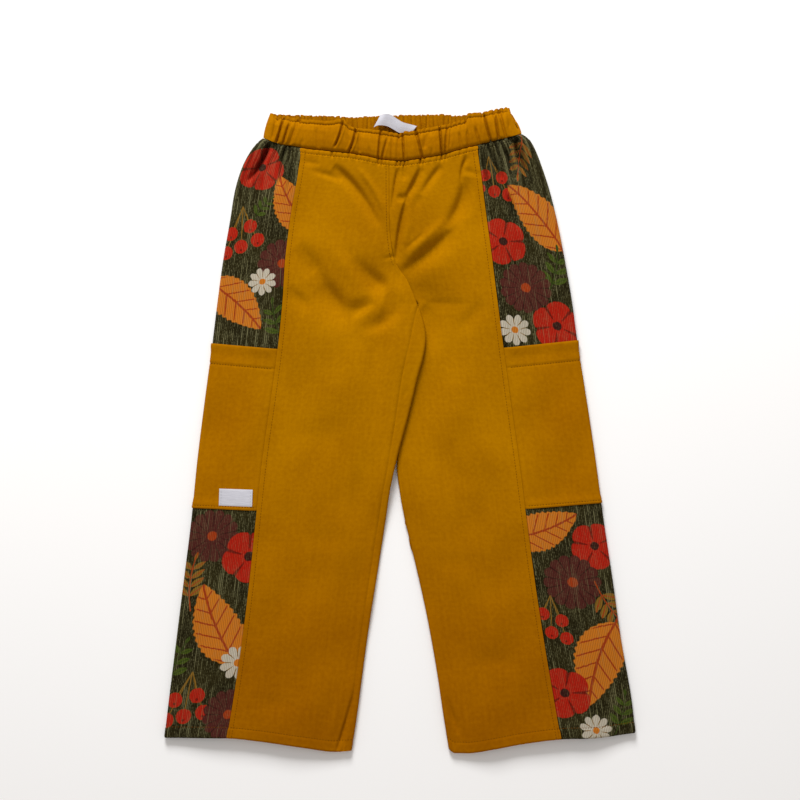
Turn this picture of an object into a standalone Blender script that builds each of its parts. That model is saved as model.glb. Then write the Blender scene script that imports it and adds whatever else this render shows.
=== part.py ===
"""A child's pull-on trousers, laid flat with the front up.

Two mustard twill legs with a printed corduroy panel down each side, a patch pocket across each
side panel, and a gathered elastic waistband with a ruffled header. The floor is z = 0, the waist
points along +Y, and +X is to the right of somebody who looks down on the front. Every leg is a
flattened tube of cloth: each panel is a sheet over one stretch of that tube, so that neighbours
meet along their seams with a small gap. Sizes are in millimetres and become metres in cloth().
"""

import bmesh
import bpy
import numpy as np

MM = 0.001

# ---- Driving sizes, in millimetres ------------------------------------------------------------
WALL = 1.0  # twill, one layer
CORD_WALL = 1.1  # corduroy
BAND_WALL = 2.0  # two layers of twill round an elastic
LABEL_WALL = 1.0
GAP = 0.4  # between neighbours along a seam
RIM = 0.6  # the narrow last strip of a panel, which keeps its rim square to the cloth
FOLD_SPARE = {"left": 0.35, "right": 0.7}  # more on each side where a seam crosses a fold's edge
LAID_ON = 0.35  # between a panel and what lies on it

WAIST_Y, CROTCH_Y, HEM_Y = 292.0, 126.0, -308.0  # where the outer fold meets waist seam and hem
RISE_TOP_Y = 190.0  # above this the two fronts lie level with each other
INNER_EDGE = 5.0  # height of a leg at its inner fold
LIFT = 5.9  # how high the left leg's inner fold lies over the right leg
LIFT_RAMP = 30.0  # the width over which it climbs
LAP_SPARE = 4.0  # how far before the right leg's fold it is up
LAP = 0.9  # the left front rises and the right front dips by this at their lap
TUCK = 3.0  # how far the right front reaches under the left front's edge
CURL = 2.5  # radius of the rolled edge beside the crotch

LABEL_SIZE = (33.5, 17.0)

# ---- Sections across the garment ---------------------------------------------------------------
# Each row is a level of the outer fold: outer = x of the fold, seam = x of the seam between side
# and front panel, back = width of the side panel underneath.
SIDE_COLUMNS = ("y", "outer", "seam", "back")
SIDE_ROWS = {
    "left": (
        (292, -136.5, -100.0, 34),
        (286, -143.5, -100.0, 38),
        (280, -148.5, -100.2, 41),
        (270, -154.5, -101.7, 44),
        (260, -159.0, -102.9, 46),
        (240, -165.0, -106.0, 48),
        (210, -170.0, -110.5, 50),
        (170, -177.0, -115.4, 51),
        (130, -182.5, -118.0, 52),
        (90, -187.5, -122.0, 53),
        (30, -195.5, -130.0, 54),
        (-30, -203.0, -138.5, 55),
        (-90, -209.0, -145.0, 55),
        (-150, -216.5, -151.2, 55),
        (-210, -224.0, -158.7, 55),
        (-270, -231.5, -167.6, 55),
        (-308, -236.0, -174.0, 55),
    ),
    "right": (
        (292, 121.5, 78.0, 34),
        (286, 129.5, 78.3, 38),
        (280, 133.5, 79.0, 41),
        (270, 138.2, 80.3, 44),
        (260, 142.0, 81.7, 46),
        (240, 149.0, 83.9, 48),
        (210, 157.0, 87.5, 50),
        (170, 165.0, 92.9, 51),
        (130, 172.0, 98.0, 52),
        (90, 177.5, 103.2, 53),
        (30, 187.0, 111.3, 54),
        (-30, 196.0, 119.8, 55),
        (-90, 204.0, 127.4, 55),
        (-150, 213.0, 135.5, 55),
        (-210, 221.5, 144.7, 55),
        (-270, 231.5, 155.0, 55),
        (-308, 235.8, 161.8, 55),
    ),
}
# Below the crotch: fold = x of the inner fold, wrap = length of cloth from the fold's edge up over
# the front to the inseam (below zero, the inseam lies underneath).
INNER_COLUMNS = ("y", "left_fold", "left_wrap", "right_fold", "right_wrap")
INNER_ROWS = (
    (126, 17.4, 0.0, 17.8, 0.0),
    (116, 21.3, 7.0, 13.6, 2.4),
    (104, 24.6, 13.0, 10.2, 4.4),
    (90, 25.8, 17.0, 7.3, 5.2),
    (72, 23.0, 18.4, 4.5, 5.4),
    (52, 17.4, 17.0, 2.0, 5.4),
    (30, 12.2, 15.2, -0.2, 5.4),
    (5, 5.9, 12.6, -2.0, 5.4),
    (-18, -0.4, 10.2, -3.1, 5.4),
    (-36, -4.6, 8.9, -3.2, 5.2),
    (-60, -9.8, 8.2, -0.6, 4.2),
    (-88, -13.9, 8.4, 4.4, 1.4),
    (-120, -18.9, 8.6, 12.0, -2.4),
    (-160, -25.2, 8.4, 21.3, -4.6),
    (-200, -31.6, 8.0, 29.7, -5.4),
    (-240, -37.8, 7.8, 37.4, -5.6),
    (-275, -43.0, 8.6, 43.2, -5.6),
    (-308, -48.4, 11.4, 48.8, -5.6),
)
# Above the crotch: front = x of the left front's edge, back = x of the centre-back seam.
RISE_COLUMNS = ("y", "front", "back")
RISE_ROWS = (
    (292, -10.5, -8.0),
    (262, -10.5, -7.5),
    (208, -10.0, -5.5),
    (185, -8.4, -4.4),
    (175, -6.8, -3.6),
    (166, -4.0, -2.6),
    (160, 0.0, -1.2),
    (151, 6.5, 2.2),
    (139, 12.2, 7.6),
    (133, 14.9, 12.0),
    (126, 17.4, 17.4),
)
# Heights: edge = height of the outer fold, loft = how much more the middle rises.
HEIGHT_COLUMNS = ("y", "edge", "loft")
HEIGHT_ROWS = (
    (292, 13.0, 4.6),
    (260, 11.2, 4.6),
    (210, 9.2, 5.0),
    (170, 8.2, 5.0),
    (126, 7.2, 4.6),
    (60, 6.2, 4.2),
    (-60, 5.8, 4.2),
    (-200, 5.6, 3.8),
    (-308, 5.4, 3.4),
)
# The waist seam, front and back, and the band's top edge, front and back, across the garment.
WAIST_COLUMNS = ("x", "front", "front_top", "back", "back_top")
WAIST_ROWS = (
    (-137, 292.0, 317.0, 292.0, 317.0),
    (-122, 285.5, 313.6, 290.5, 316.0),
    (-106, 282.5, 311.0, 289.3, 315.6),
    (-88, 279.6, 309.4, 288.3, 315.2),
    (-65, 277.2, 307.4, 287.6, 314.6),
    (-50, 275.6, 302.6, 287.2, 313.6),
    (-35, 272.8, 299.8, 287.0, 314.2),
    (-18, 269.3, 297.4, 287.0, 315.0),
    (0, 268.0, 295.4, 287.0, 315.4),
    (15, 269.5, 298.2, 287.2, 316.0),
    (38, 273.4, 302.4, 287.8, 316.4),
    (57, 278.4, 306.4, 288.4, 315.4),
    (66, 281.0, 310.6, 288.8, 315.8),
    (82, 284.6, 316.0, 289.6, 317.0),
    (99, 289.2, 320.4, 290.8, 318.0),
    (110, 292.4, 322.4, 292.8, 319.4),
    (122, 296.0, 319.0, 296.0, 319.0),
)
# Where the hem lies below or above HEM_Y, across the garment.
HEM_COLUMNS = ("x", "drop")
HEM_ROWS = {
    "left": ((-236, 0), (-174, 0), (-142, -3), (-94, -10), (-65, -14), (-48, -13)),
    "right": ((48, -11), (55, -15.5), (66, -15.5), (95, -11), (122, -6), (161, -1), (196, 0), (236, 5)),
}
# The largest folds: a trough (or, with a depth below zero, a ridge) along a curve through three
# points, with its half width and depth.
FOLD_COLUMNS = ("x0", "y0", "x1", "y1", "x2", "y2", "half", "depth")
FOLD_ROWS = (
    (-60, 262, -39, 244, -22, 206, 6, 2.4),
    (-44, 258, -28, 232, -10, 184, 6, -1.5),
    (56, 204, 27, 182, 3, 160, 9, 3.6),
    (3, 230, -2, 206, -5, 172, 6, 1.8),
    (57, 254, 56, 225, 36, 196, 10, 1.8),
    (38, 262, 28, 250, 20, 238, 6, 1.4),
    (20, 258, 12, 245, 4, 230, 6, 1.2),
    (-104, 190, -66, 146, -24, 138, 15, 2.6),
    (-40, 176, -24, 156, -8, 144, 13, 1.6),
    (-131, 285, -141, 270, -150, 250, 6, 2.6),
    (-113, 284, -118, 266, -122, 240, 6, 2.0),
    (-149, 276, -158, 256, -163, 232, 5, 1.6),
    (100, 286, 103, 262, 107, 232, 6, 2.2),
    (116, 288, 121, 264, 128, 238, 6, 2.4),
    (87, 283, 90, 262, 92, 240, 5, 1.6),
    (131, 276, 138, 258, 144, 236, 5, 1.6),
)
# Gathers of the front band, each a crease from the waist seam up to the header's stitching.
GATHER_COLUMNS = ("x_seam", "x_header", "depth")
GATHER_ROWS = (
    (-128, -123, 1.2),
    (-122, -114, 2.0),
    (-115, -107, 1.8),
    (-108, -100, 1.0),
    (-96, -92, 0.6),
    (-82, -83, 0.8),
    (-67, -57, 2.0),
    (-51, -44, 2.2),
    (-39, -38, 0.8),
    (-22, -19, 1.8),
    (-9, -8, 1.0),
    (4, 2, 1.5),
    (22, 16, 2.1),
    (31, 27, 0.9),
    (42, 39, 2.2),
    (50, 48, 1.2),
    (61, 57, 1.0),
    (69, 65, 1.2),
    (79, 72, 1.2),
    (90, 83, 2.2),
    (98, 94, 2.0),
    (107, 102, 1.5),
)
BACK_GATHERS = 40  # finer and more even than the front's
BACK_GATHER_DEPTH = 1.2
# The band's face up its height: up = share of its height, puff = how far the face stands out,
# gather = share of a gather's depth, ruffle = how far the header waves.
BAND_COLUMNS = ("up", "puff", "gather", "ruffle")
BAND_ROWS = (
    (0.0, 0.2, 0.6, 0.0),
    (0.10, 1.5, 0.9, 0.0),
    (0.32, 2.3, 1.0, 0.0),
    (0.56, 2.3, 1.0, 0.0),
    (0.76, 0.9, 0.9, 0.0),
    (0.88, 1.0, 0.4, 0.7),
    (1.0, 0.8, 0.2, 1.3),
)
BAND_TURNS = (2.4, 6.5, 30, 60, 90)  # degrees round the band's ends
HEADER_UP = 0.76  # the header's stitching, as a share of the band's height
BAND_LEAN = {"left": 6.9, "right": -12.0}  # how far the band's ends lean in at its top

# Patch pockets: top and bottom edge at the front seam, and how much they climb towards the fold.
POCKET_COLUMNS = ("top", "top_climb", "bottom", "bottom_climb")
POCKET_ROWS = {"left": (81.0, 6.0, -80.5, 2.6), "right": (82.2, 8.0, -78.8, 6.0)}
POCKET_DEPTH = WALL + LAID_ON  # how far a side panel lies under its pocket
POCKET_ZONE = (104, 92, -88, -100)  # the side panel sinks, lies under the pocket, and rises again

# The pocket label's centre, and the waist label's two long edges.
LABEL_CENTRE = (-164.0, -67.5)
LABEL_TURN = -0.03
RIBBON_COLUMNS = ("x_far", "y_far", "x_near", "y_near", "rise")
RIBBON_ROWS = (
    (-19.4, 315.0, -26.3, 302.5, 4.2),
    (-14.5, 315.8, -20.5, 304.4, 4.6),
    (-9.0, 315.0, -12.8, 303.6, 3.6),
    (-3.0, 311.2, -6.0, 300.2, 2.2),
    (3.0, 307.8, -0.5, 297.2, 1.2),
    (10.7, 305.8, 5.0, 296.6, 0.5),
    (16.7, 304.2, 13.0, 299.0, 0.3),
)

# Levels of the sections, shared by all panels so that their seams run together.
LEVELS = np.array(
    [292, 286, 280, 270, 260, 249, 238, 226, 214, 202, 190, 180, 170, 160, 150, 140, 133, 126]
    + [116, 104, 90, 72, 52, 30, 5, -18, -36, -60, -88, -120, -160, -200, -240, -275, -308],
    float,
)

MUSTARD = (0.42, 0.175, 0.008, 1.0)
OLIVE = (0.053, 0.045, 0.014, 1.0)
WHITE = (0.66, 0.66, 0.70, 1.0)


# ---- Curves through the tables ----------------------------------------------------------------
def read(rows, columns, name, at):
    """A column of a table as a smooth curve: cubic pieces whose slopes never overshoot."""
    table = np.array(sorted(rows), float)
    x, y = table[:, 0], table[:, columns.index(name)]
    step, rise = np.diff(x), np.diff(y)
    secant = rise / step
    slope = np.concatenate([[secant[0]], (secant[1:] + secant[:-1]) / 2, [secant[-1]]])
    flat = np.concatenate([[False], secant[1:] * secant[:-1] <= 0, [False]])
    slope[flat] = 0.0
    before, after = np.insert(secant, 0, secant[0]), np.append(secant, secant[-1])
    limit = 3 * np.minimum(np.abs(before), np.abs(after))
    slope = np.clip(slope, -limit, limit)
    at = np.clip(np.asarray(at, float), x[0], x[-1])
    k = np.clip(np.searchsorted(x, at, side="right") - 1, 0, len(step) - 1)
    t = (at - x[k]) / step[k]
    return (
        y[k] * (1 + 2 * t) * (1 - t) ** 2
        + y[k + 1] * t**2 * (3 - 2 * t)
        + step[k] * (slope[k] * t * (1 - t) ** 2 + slope[k + 1] * t**2 * (t - 1))
    )


def ease(value, start, end):
    """0 at start and 1 at end, smooth at both."""
    t = np.clip((np.asarray(value, float) - start) / (end - start), 0, 1)
    return t * t * (3 - 2 * t)


def folds(x, y):
    """How far the cloth sinks below its plain form at a place on the front."""
    depth = np.zeros_like(x)
    for row in FOLD_ROWS:
        fold = dict(zip(FOLD_COLUMNS, row))
        t = np.linspace(0, 1, 9)
        px = (1 - t) ** 2 * fold["x0"] + 2 * t * (1 - t) * fold["x1"] + t**2 * fold["x2"]
        py = (1 - t) ** 2 * fold["y0"] + 2 * t * (1 - t) * fold["y1"] + t**2 * fold["y2"]
        nearest, along = np.full_like(x, np.inf), np.zeros_like(x)
        for k in range(len(t) - 1):
            dx, dy = px[k + 1] - px[k], py[k + 1] - py[k]
            s = np.clip(((x - px[k]) * dx + (y - py[k]) * dy) / (dx * dx + dy * dy), 0, 1)
            away = np.hypot(x - px[k] - s * dx, y - py[k] - s * dy)
            along = np.where(away < nearest, (k + s) / (len(t) - 1), along)
            nearest = np.minimum(nearest, away)
        taper = 0.25 + 0.75 * np.sin(np.pi * np.clip(along, 0.02, 0.98))
        depth += fold["depth"] * taper * np.exp(-((nearest / fold["half"]) ** 2))
    return depth


# ---- The flattened tube of one leg -----------------------------------------------------------
def outward(side):
    return -1.0 if side == "left" else 1.0


def in_legs(y):
    """1 below the crotch, 0 above the rise, where the two legs are one bag."""
    return 1 - ease(y, CROTCH_Y, RISE_TOP_Y)


def inner_x(side, y, layer):
    """x of the inner edge: the inner fold, or above the crotch the centre seam of a layer."""
    fold = read(INNER_ROWS, INNER_COLUMNS, side + "_fold", y)
    seam = read(RISE_ROWS, RISE_COLUMNS, layer, y)
    if layer == "front":
        under = ease(y, CROTCH_Y, CROTCH_Y + 7) * (1 - ease(y, 166, 178))
        apart = GAP / 2 * outward(side)
        seam = seam + apart - (under * (TUCK + GAP) if side == "right" else 0)
    else:
        seam = seam + GAP / 2 * outward(side)
    return np.where(y > CROTCH_Y, seam, fold)


def lapped(y):
    """How far in from its inner fold the left leg lies over the right leg."""
    left, right = (read(INNER_ROWS, INNER_COLUMNS, f"{side}_fold", y) for side in ("left", "right"))
    return np.clip(left - right, 0, None) + LAP_SPARE


def lift(side, x, y):
    """Height of the underside: the left leg's inner part climbs over the right leg."""
    if side == "right":
        return np.zeros_like(x)
    along = ease(y, -104, -38) * (1 - ease(y, CROTCH_Y, 166))
    end = inner_x("left", y, "back") - lapped(y)
    return LIFT * along * ease(x, end - LIFT_RAMP, end)


def top_height(side, x, y):
    """Height of the upper layer's face over the floor."""
    edge = read(HEIGHT_ROWS, HEIGHT_COLUMNS, "edge", y)
    loft = read(HEIGHT_ROWS, HEIGHT_COLUMNS, "loft", y)
    legs = in_legs(y)
    outer = read(SIDE_ROWS[side], SIDE_COLUMNS, "outer", y)
    inner = inner_x(side, y, "front")
    from_outer, from_inner = np.abs(x - outer) - edge / 2, np.abs(x - inner) - INNER_EDGE / 2
    if side == "right":
        from_inner = from_inner - lapped(y) * (1 - ease(y, CROTCH_Y, 150))
    body = ease(from_outer, 0, 55) * (1 - legs * (1 - ease(from_inner, 0, 45)))
    edge = edge + (INNER_EDGE - edge) * legs * (1 - ease(from_inner, 0, 60))
    lap = ease(y, CROTCH_Y, 145) * (1 - ease(y, 174, 194)) * (1 - ease(from_inner, 0, 26))
    return lift(side, x, y) + edge + loft * body - LAP * outward(side) * lap


def tube(side, y, along, depth=0.0):
    """Points of a leg's cloth at the level y. along is the length of cloth from the outer fold's
    edge, above zero over the front and below zero underneath; depth moves them inwards."""
    y, along = np.broadcast_arrays(np.asarray(y, float), np.asarray(along, float))
    out = outward(side)
    edge = read(HEIGHT_ROWS, HEIGHT_COLUMNS, "edge", y)
    radius = edge / 2 - depth
    outer = read(SIDE_ROWS[side], SIDE_COLUMNS, "outer", y) - out * depth
    front = along >= 0
    inner = np.where(front, inner_x(side, y, "front"), inner_x(side, y, "back"))
    quarter, inner_quarter = np.pi / 2 * radius, np.pi / 2 * CURL
    total = quarter + np.abs(outer - inner) - radius - CURL + inner_quarter
    left_over = np.where(y > CROTCH_Y, np.maximum(total - np.abs(along), 0), total - np.abs(along))
    past = left_over < 0  # round the inner fold and on to the other layer
    front = front != past
    left_over = np.abs(left_over)

    angle = np.clip(np.abs(along) / radius, 0, np.pi / 2)
    turn = np.clip(left_over / CURL, 0, np.pi / 2)
    from_outer = outer - out * (radius + np.abs(along) - quarter)
    flat = np.where(past, inner + out * (CURL + left_over - inner_quarter), from_outer)
    x = np.where(np.abs(along) < quarter, outer - out * radius * (1 - np.cos(angle)), flat)
    x = np.where(left_over < inner_quarter, inner + out * CURL * (1 - np.cos(turn)), x)

    shift = place_shift(side, x, y, front)
    near_fold = (1 - ease(y, CROTCH_Y, 150)) * (1 - ease(left_over, inner_quarter, 12))
    upper = top_height(side, x, y) - folds(x, y + shift) * (1 - near_fold) - depth
    lower = lift(side, x, y) + depth
    middle = edge / 2
    round_z = np.where(front, middle + radius * np.sin(angle), middle - radius * np.sin(angle))
    curl = (1 - ease(y, CROTCH_Y, 152)) * CURL * (1 - np.sin(turn))
    flat_z = np.where(front, upper - curl, lower + curl)
    z = np.where(np.abs(along) < quarter, round_z, flat_z)
    blend = ease(np.abs(along), quarter, quarter + 6)
    on_top = (np.abs(along) >= quarter) & front
    z = np.where(on_top, z * blend + (middle + radius) * (1 - blend), z)
    return x, y + shift, z


def place_shift(side, x, y, front):
    """How far a point lies along Y from its level: the front sags at the waist, the hem runs
    down towards the inner fold."""
    drop = read(HEM_ROWS[side], HEM_COLUMNS, "drop", x) * (1 - ease(y, HEM_Y, -180))
    sag_front = read(WAIST_ROWS, WAIST_COLUMNS, "front", x) - WAIST_Y
    sag_back = read(WAIST_ROWS, WAIST_COLUMNS, "back", x) - WAIST_Y
    return drop + np.where(front, sag_front, sag_back) * ease(y, 196, WAIST_Y)


def length_to(side, y, x, layer="front"):
    """The length of cloth from the outer fold's edge to a place x on one layer."""
    radius = read(HEIGHT_ROWS, HEIGHT_COLUMNS, "edge", y) / 2
    outer = read(SIDE_ROWS[side], SIDE_COLUMNS, "outer", y)
    return np.abs(outer - x) + (np.pi / 2 - 1) * radius


def length_to_inner(side, y, layer):
    """The length of cloth from the outer fold's edge to the inner edge of one layer."""
    return length_to(side, y, inner_x(side, y, layer)) + (np.pi / 2 - 1) * CURL


def wrap(side, y):
    """How much cloth lies between the inner fold's edge and the inseam, up over the front."""
    return np.where(y > CROTCH_Y, 0.0, read(INNER_ROWS, INNER_COLUMNS, side + "_wrap", y))


def inseam_gap(side, y):
    """Half the gap along the inseam, wider where it crosses the inner fold's edge."""
    spare = FOLD_SPARE[side] * np.exp(-((wrap(side, y) / CURL) ** 2))
    return np.where(y > CROTCH_Y, 0.0, GAP / 2 + spare)


# ---- Meshes -----------------------------------------------------------------------------------
def material(name, colour, roughness):
    found = bpy.data.materials.get(name)
    if found:
        return found
    made = bpy.data.materials.new(name)
    made.use_nodes = True
    shader = made.node_tree.nodes["Principled BSDF"]
    shader.inputs["Base Color"].default_value = colour
    shader.inputs["Roughness"].default_value = roughness
    shader.inputs["Metallic"].default_value = 0.0
    return made


def cloth(name, points, wall, look, flip, collection):
    """A sheet over a grid of points in millimetres, its face outwards, made solid inwards."""
    across, up = points.shape[1] - 1, points.shape[0] - 1
    bm = bmesh.new()
    bmesh.ops.create_grid(bm, x_segments=across, y_segments=up, size=1.0)
    for vertex in bm.verts:
        i = round((vertex.co.x + 1) / 2 * across)
        j = round((vertex.co.y + 1) / 2 * up)
        vertex.co = points[j, i] * MM
    if flip:
        bmesh.ops.reverse_faces(bm, faces=bm.faces)
    mesh = bpy.data.meshes.new(name)
    bm.to_mesh(mesh)
    bm.free()
    mesh.shade_smooth()
    mesh.materials.append(look)
    made = bpy.data.objects.new(name, mesh)
    collection.objects.link(made)
    shell = made.modifiers.new("Wall", "SOLIDIFY")
    shell.thickness = wall * MM
    shell.offset = -1
    shell.use_even_offset = True
    shell.use_quality_normals = True
    return made


def grid(x, y, z):
    return np.stack(np.broadcast_arrays(x, y, z), axis=-1)


def spaced(stops, counts):
    """Columns between lengths that differ from level to level: counts[k] steps from stops[k]."""
    columns = [stops[0]]
    for start, end, count in zip(stops, stops[1:], counts):
        columns += [start + (end - start) * (k + 1) / count for k in range(count)]
    return np.stack(columns, axis=-1)


def rising(levels):
    """Levels from the hem up, so that a left sheet's face looks outwards."""
    return np.sort(levels)


def front_panel(side, look, collection):
    y = rising(LEVELS)
    seam = read(SIDE_ROWS[side], SIDE_COLUMNS, "seam", y)
    start = length_to(side, y, seam) + GAP / 2
    end = length_to_inner(side, y, "front") - wrap(side, y) - inseam_gap(side, y)
    fine, steps = (6.0, 3) if side == "left" else (11.0, 5)
    along = spaced((start, end - fine, end - RIM, end), (9, steps, 1))
    points = grid(*tube(side, y[:, None], along))
    return cloth(f"front_{side}", points, WALL, look, side == "right", collection)


def back_panel(side, look, collection):
    y = rising(LEVELS)
    width = read(SIDE_ROWS[side], SIDE_COLUMNS, "back", y)
    radius = read(HEIGHT_ROWS, HEIGHT_COLUMNS, "edge", y) / 2
    start = width + (np.pi / 2 - 1) * radius + GAP / 2
    total = length_to_inner(side, y, "back")
    end = total + wrap(side, y) - inseam_gap(side, y)
    if side == "left":
        open_part = ease(y, CROTCH_Y, 150)
        fold_start = total - 4.4 - 12 * open_part
        fold_end = np.minimum(total + 4.4, end - 1.2) - 5 * open_part
        ramp_end = np.minimum(total - lapped(y), fold_start - 1)
        stops = (start, ramp_end - LIFT_RAMP, ramp_end, fold_start, fold_end, end - RIM, end)
        along = spaced(stops, (2, 3, 1, 4, 1, 1))
    else:
        along = spaced((start, end - 11.0, end - RIM, end), (5, 5, 1))
    points = grid(*tube(side, y[:, None], -along[:, ::-1]))
    return cloth(f"back_{side}", points, WALL, look, side == "right", collection)


def side_panel(side, look, collection):
    y = rising(LEVELS)
    down, under, over, up = POCKET_ZONE
    depth = POCKET_DEPTH * (1 - ease(y, under, down)) * ease(y, up, over)
    radius = read(HEIGHT_ROWS, HEIGHT_COLUMNS, "edge", y) / 2
    seam = read(SIDE_ROWS[side], SIDE_COLUMNS, "seam", y)
    over_top = length_to(side, y, seam) - GAP / 2 - np.pi / 2 * depth
    beneath = read(SIDE_ROWS[side], SIDE_COLUMNS, "back", y) + (np.pi / 2 - 1) * (radius - depth)
    beneath = beneath - GAP / 2 - depth
    quarter = np.pi / 2 * (radius - depth)
    along = spaced((-beneath, -quarter, quarter, over_top), (2, 6, 8))
    points = grid(*tube(side, y[:, None], along, depth[:, None]))
    return cloth(f"side_{side}", points, CORD_WALL, look, side == "right", collection)


def pocket(side, look, collection):
    """A patch on the side panel's points, moved out; its top and bottom edges climb outwards."""
    patch = dict(zip(POCKET_COLUMNS, POCKET_ROWS[side]))
    rows = []
    for up in np.linspace(0, 1, 8):
        level = patch["bottom"] + up * (patch["top"] - patch["bottom"])
        climb = patch["bottom_climb"] + up * (patch["top_climb"] - patch["bottom_climb"])
        radius = read(HEIGHT_ROWS, HEIGHT_COLUMNS, "edge", level) / 2
        seam = read(SIDE_ROWS[side], SIDE_COLUMNS, "seam", level)
        quarter = np.pi / 2 * radius
        over_top = length_to(side, level, seam) - GAP / 2
        back = read(SIDE_ROWS[side], SIDE_COLUMNS, "back", level)
        beneath = back + (np.pi / 2 - 1) * radius - GAP / 2
        along = spaced((-beneath, -quarter, quarter, over_top), (2, 6, 4))
        share = np.where(along > 0, along / over_top, -along / beneath)
        y = level + climb * (1 - share)
        rows.append(grid(*tube(side, y, along)))
    return cloth(f"pocket_{side}", np.array(rows), WALL, look, side == "right", collection)


def band_x(side, up):
    """x of the band's end at a share of its height."""
    return read(SIDE_ROWS[side], SIDE_COLUMNS, "outer", WAIST_Y) + BAND_LEAN[side] * up**1.6


def band_radius(up):
    """Radius of the band's end: its header closes up."""
    return read(HEIGHT_ROWS, HEIGHT_COLUMNS, "edge", WAIST_Y) / 2 * (1 - 0.45 * ease(up, 0.6, 1.0))


def band_columns(gathers, between):
    """Columns at each gather and at some places between: x at the seam, x at the header, depth
    below the face, and a wave of -1 in a gather and 1 between two."""
    found = []
    for (seam, header, depth), (next_seam, next_header, _) in zip(gathers, gathers[1:]):
        found.append((seam, header, depth, -1.0))
        for share in between:
            place = seam + share * (next_seam - seam), header + share * (next_header - header)
            found.append((*place, 0.0, 1.0))
    found.append((*gathers[-1], -1.0))
    return np.array(found)


def band_half(name, columns, levels, face, look, collection):
    """Half of the waistband, from the left fold's edge to the right one's. face is 1 for the
    front, which lies on top, and -1 for the back, whose outer side rests flat."""
    middle = read(HEIGHT_ROWS, HEIGHT_COLUMNS, "edge", WAIST_Y) / 2
    loft = read(HEIGHT_ROWS, HEIGHT_COLUMNS, "loft", WAIST_Y)
    seam_name, top_name = ("front", "front_top") if face > 0 else ("back", "back_top")
    turns = np.radians(BAND_TURNS)
    rows = []
    for at in (dict(zip(BAND_COLUMNS, row)) for row in levels):
        left, right, radius = band_x("left", at["up"]), band_x("right", at["up"]), band_radius(at["up"])
        x = columns[:, 0] + (columns[:, 1] - columns[:, 0]) * min(at["up"] / HEADER_UP, 1.3)
        x = np.clip(x, left + radius + 1, right - radius - 1)
        inside = np.minimum(x - left, right - x) - radius
        if face > 0:
            z = middle + radius + (middle - radius + loft) * ease(inside, 0, 55)
            z = z + at["puff"] * ease(inside, 0, 22)
            waves = columns[:, 3] * at["ruffle"] - columns[:, 2] * at["gather"]
            z = z + waves * ease(inside, 0, 12)
        else:
            z = (middle - radius) * (1 - ease(inside, 0, 20))
        curve = radius * (1 - np.cos(turns))
        end = middle + face * radius * np.sin(turns)
        x = np.concatenate([left + curve, x, right - curve[::-1]])
        z = np.concatenate([end, z, end[::-1]])
        seam = read(WAIST_ROWS, WAIST_COLUMNS, seam_name, x)
        top = read(WAIST_ROWS, WAIST_COLUMNS, top_name, x)
        rows.append(grid(x, seam + GAP + (top - seam - GAP) * at["up"], z))
    return cloth(name, np.array(rows), BAND_WALL, look, face < 0, collection)


def front_band(look, collection):
    columns = band_columns(GATHER_ROWS, (0.35, 0.7))
    return band_half("waistband_front", columns, BAND_ROWS, 1, look, collection)


def back_band(look, collection):
    """The back half: its outer side lies flat, and its gathers show on the inner side."""
    ends = [(band_x("left", up) + 9, band_x("right", up) - 9) for up in (0.0, HEADER_UP)]
    seam, header = (np.linspace(*pair, BACK_GATHERS) for pair in ends)
    columns = band_columns(list(zip(seam, header, np.zeros(BACK_GATHERS))), (0.5,))
    made = band_half("waistband_back", columns, BAND_ROWS[::2], -1, look, collection)
    with bpy.context.temp_override(object=made, active_object=made):
        bpy.ops.object.modifier_apply(modifier="Wall")
    outer = len(made.data.vertices) // 2
    across = len(columns) + 2 * len(BAND_TURNS)
    for k, vertex in enumerate(list(made.data.vertices)[outer:]):
        column = k % across - len(BAND_TURNS)
        if 0 <= column < len(columns) and columns[column, 3] > 0:
            vertex.co.z += BACK_GATHER_DEPTH * MM
    return made


def pocket_label(look, collection):
    """A small woven label on the left pocket's face."""
    width, height = LABEL_SIZE
    u = np.linspace(-width / 2, width / 2, 5)[None, :]
    v = np.linspace(-height / 2, height / 2, 3)[:, None]
    x = LABEL_CENTRE[0] + u * np.cos(LABEL_TURN) - v * np.sin(LABEL_TURN)
    y = LABEL_CENTRE[1] + u * np.sin(LABEL_TURN) + v * np.cos(LABEL_TURN)
    _, _, z = tube("left", y, length_to("left", y, x))
    points = grid(x, y, z + LAID_ON + LABEL_WALL)
    return cloth("label_pocket", points, LABEL_WALL, look, False, collection)


def waist_label(look, collection):
    """A ribbon label on the back band's inner side, arched at its left end."""
    inside = BAND_WALL + BACK_GATHER_DEPTH + LABEL_WALL
    rows = [dict(zip(RIBBON_COLUMNS, row)) for row in RIBBON_ROWS]
    near = [(r["x_near"], r["y_near"], inside + r["rise"]) for r in rows]
    far = [(r["x_far"], r["y_far"], inside + r["rise"]) for r in rows]
    middle = (np.array(near) + np.array(far)) / 2
    points = np.array([near, middle, far])
    return cloth("label_waist", points, LABEL_WALL, look, False, collection)


def trousers():
    for old in list(bpy.data.objects):
        bpy.data.objects.remove(old)
    collection = bpy.data.collections.new("Trousers")
    bpy.context.scene.collection.children.link(collection)
    twill = material("Mustard twill", MUSTARD, 0.85)
    corduroy = material("Olive corduroy", OLIVE, 0.9)
    woven = material("White label", WHITE, 0.7)
    for side in ("left", "right"):
        front_panel(side, twill, collection)
        back_panel(side, twill, collection)
        side_panel(side, corduroy, collection)
        pocket(side, twill, collection)
    front_band(twill, collection)
    back_band(twill, collection)
    pocket_label(woven, collection)
    waist_label(woven, collection)


trousers()
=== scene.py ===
# %% [markdown]
# # A child's pull-on trousers, laid flat
# Mustard twill legs, a printed corduroy panel down each side with a patch pocket across it, and a
# gathered elastic waistband. They lie on a pale floor with the front up, seen from straight above.
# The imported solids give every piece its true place. This script dresses them: each solid is
# replaced by a finer sheet of cloth on the same form, with creases, gathers, hems and stitches.

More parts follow.
